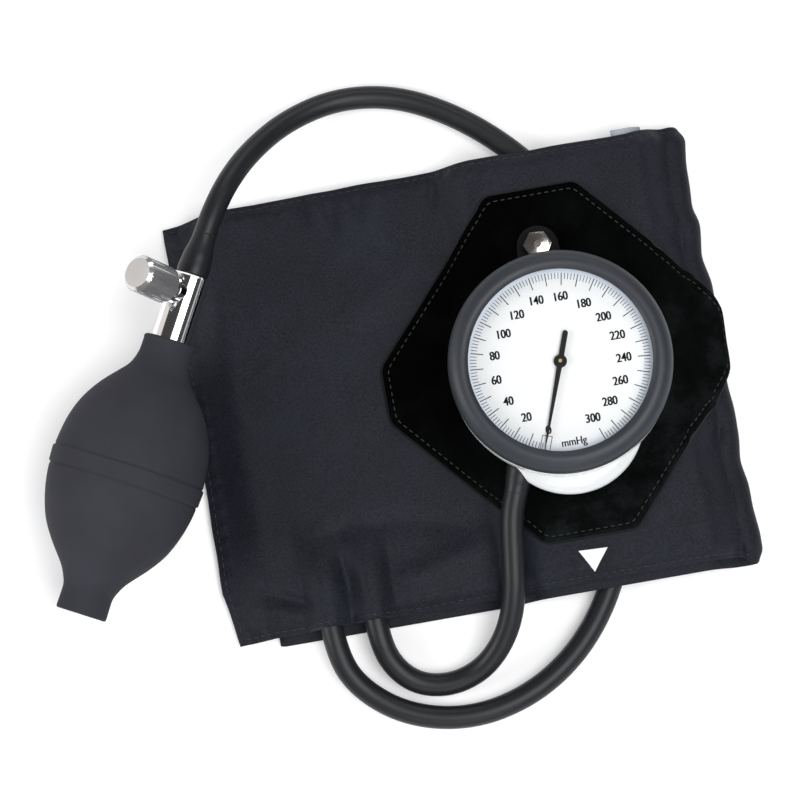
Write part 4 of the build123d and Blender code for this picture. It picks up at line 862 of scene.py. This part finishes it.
def patch_mesh():
    """Points and faces of the patch: rings from its stitched edge in to its centre."""
    insets = [0.0, 0.0, 0.12, 0.35, 0.7, 1.2, 1.7, 2.05, 2.4, 2.75, 3.2, 4.2, 6.0]
    heights = [-0.3, 1.1, 1.6, 1.9, 2.08, 2.2, 2.2, 1.95, 1.7, 1.98, 2.36, 2.45, 2.4]
    rings = [octagon_ring(d) for d in insets]
    last = rings[-1]
    for t in np.linspace(1, 0, 40)[1:-1]:
        rings.append(last * t)
        heights.append(PATCH_HEIGHT)
    flat = np.array(rings)
    height = np.array(heights)[:, None] * np.ones(flat.shape[:2])
    soft = field(flat.reshape(-1, 2), 16.0, 9, 2).reshape(flat.shape[:2])
    where = np.hypot(flat[..., 0] + 0.7, flat[..., 1] + 3.8)
    height = height + 0.18 * soft * smoothstep((where - 34) / 12)
    place, _ = patch_at(flat, height)
    rows, columns = flat.shape[:2]
    points = list(place.reshape(-1, 3) * MM)
    faces = grid_faces(rows, columns, wrap_columns=True)
    centre, _ = patch_at(np.zeros((1, 2)), np.array([PATCH_HEIGHT]))
    points.append(centre[0] * MM)
    last = (rows - 1) * columns
    for j in range(columns):
        faces.append((last + j, last + (j + 1) % columns, len(points) - 1))
    return points, faces


patch_points, patch_faces = patch_mesh()
patch = mesh_object("patch_leather", patch_points, patch_faces, suede_black)
# the outer EDGE_RINGS rings take the lighter edge tone, partly a painted rim highlight
patch.data.materials.append(patch_edge_and_highlight)
for face in patch.data.polygons:
    face.material_index = 1 if face.index < EDGE_RINGS * len(octagon_ring(0.0)) else 0
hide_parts("suede_patch")
stitch_ring = octagon_ring(2.4)
stitch_ring = np.concatenate([stitch_ring, stitch_ring[:1]])
stitch_at, stitch_out = patch_at(stitch_ring, np.full(len(stitch_ring), 1.78))
seam_stitches = dashes("patch_stitches", stitch_at, stitch_out, 1.65, 0.85, 0.46, patch_thread)

# ---------------------------------------------------------------- index mark on the cuff

MARK = np.array([(30.1, -61.7), (39.9, -62.1), (34.3, -69.3)])


def index_mark():
    """A plain white triangle printed on the cloth, following its surface."""
    n = 14
    flat, faces = [], []
    for i in range(n + 1):
        for j in range(n + 1 - i):
            flat.append((MARK[0] * (n - i - j) + MARK[1] * i + MARK[2] * j) / n)
    flat = np.array(flat)

    def at(i, j):
        return i * (n + 1) - i * (i - 1) // 2 + j
    for i in range(n):
        for j in range(n - i):
            faces.append((at(i, j), at(i, j + 1), at(i + 1, j)))
            if i + j < n - 1:
                faces.append((at(i + 1, j), at(i, j + 1), at(i + 1, j + 1)))
    s, v = flat[:, 0] - LEFT, (flat[:, 1] - FRONT) / (BACK - FRONT)
    for _ in range(5):
        place, out = on_skin(s, v)
        s, v = s + flat[:, 0] - place[:, 0], v + (flat[:, 1] - place[:, 1]) / DEPTH
    place, out = on_skin(s, v)
    count = len(place)
    points = np.concatenate([place + out * 0.16, place - out * 0.2]) * MM
    under = [tuple(k + count for k in face[::-1]) for face in faces]
    rim = ([at(i, 0) for i in range(n)] + [at(n - j, j) for j in range(n)]
           + [at(0, n - k) for k in range(n)])
    sides = [(p, p + count, q + count, q) for p, q in zip(rim, rim[1:] + rim[:1])]
    return mesh_object("index_mark", points, faces + under + sides, print_white, smooth=False)


mark = index_mark()

# ---------------------------------------------------------------- strips and tag


def cloth_slab(name, low, high, made, follow=True):
    """A flat strip of cloth between two corners in mm, following the cuff's hump if asked."""
    (x0, y0, z0), (x1, y1, z1) = low, high
    X, Y = np.meshgrid(*(np.linspace(a, b, max(6, int((b - a) / 1.5)))
                         for a, b in ((x0, x1), (y0, y1))), indexing="ij")
    rise = hump(X) if follow else 0.0
    edge = np.minimum(np.minimum(X - x0, x1 - X), np.minimum(Y - y0, y1 - Y))
    round_off = 0.25 * (z1 - z0) * (1 - smoothstep(edge / 0.8))
    top = np.stack([X, Y, z1 + rise - round_off], -1)
    under = np.stack([X, Y, z0 + rise + round_off], -1)
    return slab(name, top, under, made, flip=True)


for name in ("hook_strip", "loop_strip"):
    low, high = ([c * 1000 for c in corner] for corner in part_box(name))
    strip = cloth_slab(name + "_pile", low, high, strip_cloth, follow=False)
    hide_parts(name)
tag = cloth_slab("tag_ribbon", (66.0, 61.0, 3.0), (76.4, 78.4, 3.6), ribbon_cloth)
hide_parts("size_tag")

# ---------------------------------------------------------------- bulb

NECK_BORE = 6.15
TAIL_BORE = 5.6


def bulb_outline():
    """The bulb's closed outline as (radius, distance along its axis), from the tail's bore."""
    outside = [
        (8.1, -48.4), (8.45, -48.2), (8.65, -47.6), (8.65, -46.0), (8.6, -43.0), (8.7, -40.6),
        (9.5, -38.2), (11.6, -34.4), (17.4, -27.2), (21.3, -21.0), (23.9, -13.8), (25.3, -7.0),
        (25.8, 0.0), (25.75, 4.0), (24.8, 11.6), (23.2, 17.6), (20.8, 22.9), (17.4, 28.1),
        (13.6, 32.6), (10.9, 35.8), (9.55, 38.6), (9.05, 40.6), (8.8, 42.2), (8.75, 45.6),
        (8.9, 46.6), (8.75, 47.2), (8.3, 47.6), (7.4, 47.6)]
    outer = smooth_profile([(r * MM, d * MM) for r, d in outside], 0.28 * MM)
    inner_neck = [(NECK_BORE * MM, 47.45 * MM), (NECK_BORE * MM, 40.0 * MM)]
    inner_tail = [(TAIL_BORE * MM, -40.0 * MM), (TAIL_BORE * MM, -48.3 * MM)]
    return inner_tail + outer + inner_neck


def bulb_shape(radius, reach, angle):
    """The band round the middle, and the slight unevenness of moulded rubber."""
    if radius < 7.0 * MM:
        return radius
    d = reach / MM
    band = 0.36 * float(smoothstep((2.95 - abs(d)) / 0.3))
    groove = -0.26 * math.exp(-((abs(d) - 3.2) / 0.34) ** 2)
    seam = 0.0
    if abs(d) > 3.6:
        seam = 0.05 * math.exp(-((math.sin(angle) * radius / MM) / 0.3) ** 2)
    uneven = 0.16 * math.sin(2 * angle + d * 0.05) * math.sin(math.pi * (d + 48.4) / 96.0)
    return radius + (band + groove + seam + uneven) * MM


bulb = lathe("bulb_rubber", bulb_centre, bulb_axis, bulb_side, bulb_outline(), bulb_rubber,
             count=144, shape=bulb_shape)
bulb.data.polygons.foreach_set("use_smooth", [True] * len(bulb.data.polygons))
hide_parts("bulb")

# ---------------------------------------------------------------- dial print

DIAL_TOP = 45.1
INK = 0.03
DIAL_RADIUS = 32.5
TICKS_RADIUS = 29.6
ZERO_ANGLE, SCALE_ANGLE = 199.8, 320.4


def dial_place(value, radius):
    """Place of a pressure on the dial in mm, with its angle clockwise from twelve."""
    a = math.radians(ZERO_ANGLE + SCALE_ANGLE * value / 300.0)
    return np.array([GAUGE[0] + radius * math.sin(a), GAUGE[1] + radius * math.cos(a)]), a


def print_piece(name, quads):
    """Flat ink shapes as thin closed blocks on the dial."""
    z0, z1 = DIAL_TOP, DIAL_TOP + INK
    points, faces = [], []
    for quad in quads:
        start = len(points)
        n = len(quad)
        points += [(x * MM, y * MM, z0 * MM) for x, y in quad]
        points += [(x * MM, y * MM, z1 * MM) for x, y in quad]
        faces.append(tuple(start + k for k in range(n))[::-1])
        faces.append(tuple(start + n + k for k in range(n)))
        for k in range(n):
            m = (k + 1) % n
            faces.append((start + k, start + m, start + n + m, start + n + k))
    made = mesh_object(name, points, faces, print_black, smooth=False)


def bar(p, q, width):
    """The four corners of a straight stroke."""
    p, q = np.array(p, float), np.array(q, float)
    along = (q - p) / np.linalg.norm(q - p)
    side = np.array([-along[1], along[0]]) * width / 2
    return [p - side, q - side, q + side, p + side]


ticks = []
for value in range(0, 301, 2):
    length, width = (4.2, 0.3) if value % 10 == 0 else (2.1, 0.2)
    inner, _ = dial_place(value, TICKS_RADIUS - length)
    outer, _ = dial_place(value, TICKS_RADIUS)
    ticks.append(bar(inner, outer, width))
print_piece("dial_ticks", ticks)
zero_at, zero_turn = dial_place(0, 27.3)
out_dir = np.array([math.sin(zero_turn), math.cos(zero_turn)])
side_dir = np.array([-out_dir[1], out_dir[0]])
box = [zero_at + out_dir * a + side_dir * b
       for a, b in ((-2.35, -1.6), (2.35, -1.6), (2.35, 1.6), (-2.35, 1.6))]
print_piece("dial_zero_box", [bar(box[k], box[(k + 1) % 4], 0.22) for k in range(4)])


def lettering(name, text, place, height, squeeze, weight, stem):
    """Printed characters from Blender's built-in font, flat on the dial, with thickened stems."""
    curve = bpy.data.curves.new(name + "_text", "FONT")
    curve.body = text
    curve.align_x, curve.align_y = "CENTER", "CENTER"
    curve.size = height * MM / 0.7
    curve.extrude = 0.015 * MM
    curve.offset = weight * MM
    holder = linked(name + "_text", curve)
    mesh = bpy.data.meshes.new_from_object(holder)
    bpy.data.objects.remove(holder)
    bpy.data.curves.remove(curve)
    co = np.empty(len(mesh.vertices) * 3)
    mesh.vertices.foreach_get("co", co)
    co = co.reshape(-1, 3)
    low, high = co.min(0), co.max(0)
    co -= (low + high) / 2
    co[:, 0] *= squeeze
    co[:, 0] += place[0] * MM
    co[:, 1] += place[1] * MM
    co[:, 2] += (DIAL_TOP + 0.016) * MM
    faces = [tuple(p.vertices) for p in mesh.polygons]
    bpy.data.meshes.remove(mesh)
    shifts = np.linspace(-0.5, 0.5, 4) * stem * MM
    points = np.concatenate([co + [dx, 0, abs(dx) * 0.02] for dx in shifts])
    faces = [tuple(v + k * len(co) for v in f) for k in range(len(shifts)) for f in faces]
    mesh = bpy.data.meshes.new(name)
    mesh.from_pydata([tuple(c) for c in points], [], faces)
    mesh.update()
    obj = linked(name, mesh)
    wear(obj, print_black)
    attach(obj, "set")


for value in range(20, 301, 20):
    _, turn_to = dial_place(value, 1.0)
    half_wide = 1.8 if value < 100 else 2.75
    inward = abs(math.sin(turn_to)) * half_wide + abs(math.cos(turn_to)) * 1.5
    spot, _ = dial_place(value, 23.75 - inward)
    lettering(f"dial_{value}", str(value), spot, 2.85, 0.82, 0.02, 0.26)
spot, _ = dial_place(0, 22.9)
lettering("dial_0", "0", spot, 2.8, 1.0, 0.0, 0.2)
lettering("dial_unit", "mmHg", (GAUGE[0] - 0.1, GAUGE[1] - 27.1), 2.6, 0.84, 0.0, 0.18)

# ---------------------------------------------------------------- materials of the CAD pieces

looks = (
    (inner_rubber, "bladder"),
    (steel, "backing_plate bracket_screws foot_screws movement_screws plate_screws rocking_shaft "
            "hairspring intake_filter"),
    (bracket_black, "mounting_bracket"),
    (nickel, "bolt_washer hex_bolt"),
    (case_white, "case_foot gauge_case dial_spacer_ring hose_connectors"),
    (brass, "gauge_nipple capsule_nut push_pin movement_bottom_plate movement_pillars "
            "movement_top_plate sector_gear pinion_arbor hairspring_stud outlet_retainer "
            "intake_retainer"),
    (copper, "capsule"),
    (dial_face((GAUGE[0] * MM, GAUGE[1] * MM, DIAL_TOP * MM)), "dial_plate"),
    (pointer_black, "pointer"),
    (lens_clear, "lens"),
    (bezel_rubber, "bezel_ring"),
    (chrome, "valve_body needle_stem intake_valve_body"),
    (seal_black, "screw_o_ring outlet_disc intake_disc"),
    (knurl, "thumbscrew_knob"),
)
for made, names in looks:
    for name in names.split():
        wear(nodes[name], made)

# ---------------------------------------------------------------- floor and light

floor_mesh = bpy.data.meshes.new("floor")
FLOOR_REACH, FLOOR_LEVEL = 3.0, -0.0002
floor_mesh.from_pydata([(a * FLOOR_REACH, b * FLOOR_REACH, FLOOR_LEVEL)
                        for a, b in ((-1, -1), (1, -1), (1, 1), (-1, 1))], [], [(0, 1, 2, 3)])
floor = linked("floor", floor_mesh)
floor_look = bpy.data.materials.new("floor")
tree, surface = blank_tree(floor_look)
paths = tree.nodes.new("ShaderNodeLightPath")
paper = set_inputs(tree.nodes.new("ShaderNodeBsdfDiffuse"), {"Color": (0.82, 0.82, 0.83, 1)})
glow = set_inputs(tree.nodes.new("ShaderNodeEmission"), {"Color": (1, 1, 1, 1)})
both = tree.nodes.new("ShaderNodeAddShader")
seen = math_node(tree, "MAXIMUM", paths.outputs["Is Camera Ray"], paths.outputs["Is Glossy Ray"])
seen = math_node(tree, "MAXIMUM", seen, paths.outputs["Is Transmission Ray"])
tree.links.new(math_node(tree, "MULTIPLY", seen, 0.22), glow.inputs["Strength"])
tree.links.new(paper.outputs[0], both.inputs[0])
tree.links.new(glow.outputs[0], both.inputs[1])
tree.links.new(both.outputs[0], surface)
wear(floor, floor_look)

world = bpy.data.worlds.new("studio")
bpy.context.scene.world = world
tree, surface = blank_tree(world, "ShaderNodeOutputWorld")
sky = set_inputs(tree.nodes.new("ShaderNodeBackground"), {"Color": (1, 1, 1, 1)})
paths = tree.nodes.new("ShaderNodeLightPath")
dimmed = math_node(tree, "MULTIPLY", paths.outputs["Is Glossy Ray"], 0.08)
tree.links.new(math_node(tree, "SUBTRACT", 0.14, dimmed), sky.inputs["Strength"])
tree.links.new(sky.outputs[0], surface)


def area(name, east, north, up, size, power):
    """A soft area lamp placed in image directions from the middle of the object, facing it."""
    data = bpy.data.lights.new(name, "AREA")
    data.shape = "RECTANGLE"
    data.size, data.size_y = size
    data.energy = power
    lamp = linked(name, data)
    place = image_to_row(east, north, up)
    lamp.location = place
    lamp.rotation_euler = (-place).to_track_quat("-Z", "Y").to_euler()


area("key", 0.52, -0.3, 1.5, (1.25, 1.05), 24.0)
area("left", -1.1, -0.2, 0.66, (0.5, 0.6), 8.0)
area("front", 0.05, -1.1, 0.62, (0.9, 0.4), 3.8)
area("rear", 0.1, 1.05, 0.7, (0.8, 0.4), 3.5)

VALVE = Vector((-0.082, 0.046, 0.028))
VALVE_LEAN = math.radians(30.0)


def about_valve(across, along, up):
    """A place from distances (m) across and along the valve's axis and upward."""
    return VALVE + image_to_row(
        across * math.cos(VALVE_LEAN) + along * math.sin(VALVE_LEAN),
        -across * math.sin(VALVE_LEAN) + along * math.cos(VALVE_LEAN), up)


def card(name, across, along, height, colour):
    """An upright reflector beside the valve that only polished surfaces see."""
    made = bpy.data.materials.new(name)
    tree, surface = blank_tree(made)
    made.cycles.emission_sampling = "NONE"
    paths = tree.nodes.new("ShaderNodeLightPath")
    glow = set_inputs(tree.nodes.new("ShaderNodeEmission"), {"Color": (*colour, 1)})
    clear = tree.nodes.new("ShaderNodeBsdfTransparent")
    mixed = tree.nodes.new("ShaderNodeMixShader")
    tree.links.new(paths.outputs["Is Glossy Ray"], mixed.inputs[0])
    tree.links.new(clear.outputs[0], mixed.inputs[1])
    tree.links.new(glow.outputs[0], mixed.inputs[2])
    tree.links.new(mixed.outputs[0], surface)
    low, high = along
    corners = ((low, 0.0), (high, 0.0), (high, height), (low, height))
    mesh = bpy.data.meshes.new(name)
    mesh.from_pydata([tuple(about_valve(across, *c)) for c in corners], [], [(0, 1, 2, 3)])
    obj = linked(name, mesh)
    wear(obj, made)


card("card_right", 1.2, (-0.6, 0.6), 0.45, (0.6, 0.63, 0.68))
card("card_low", -1.2, (-0.75, 0.45), 0.8, (0.86, 0.81, 0.76))
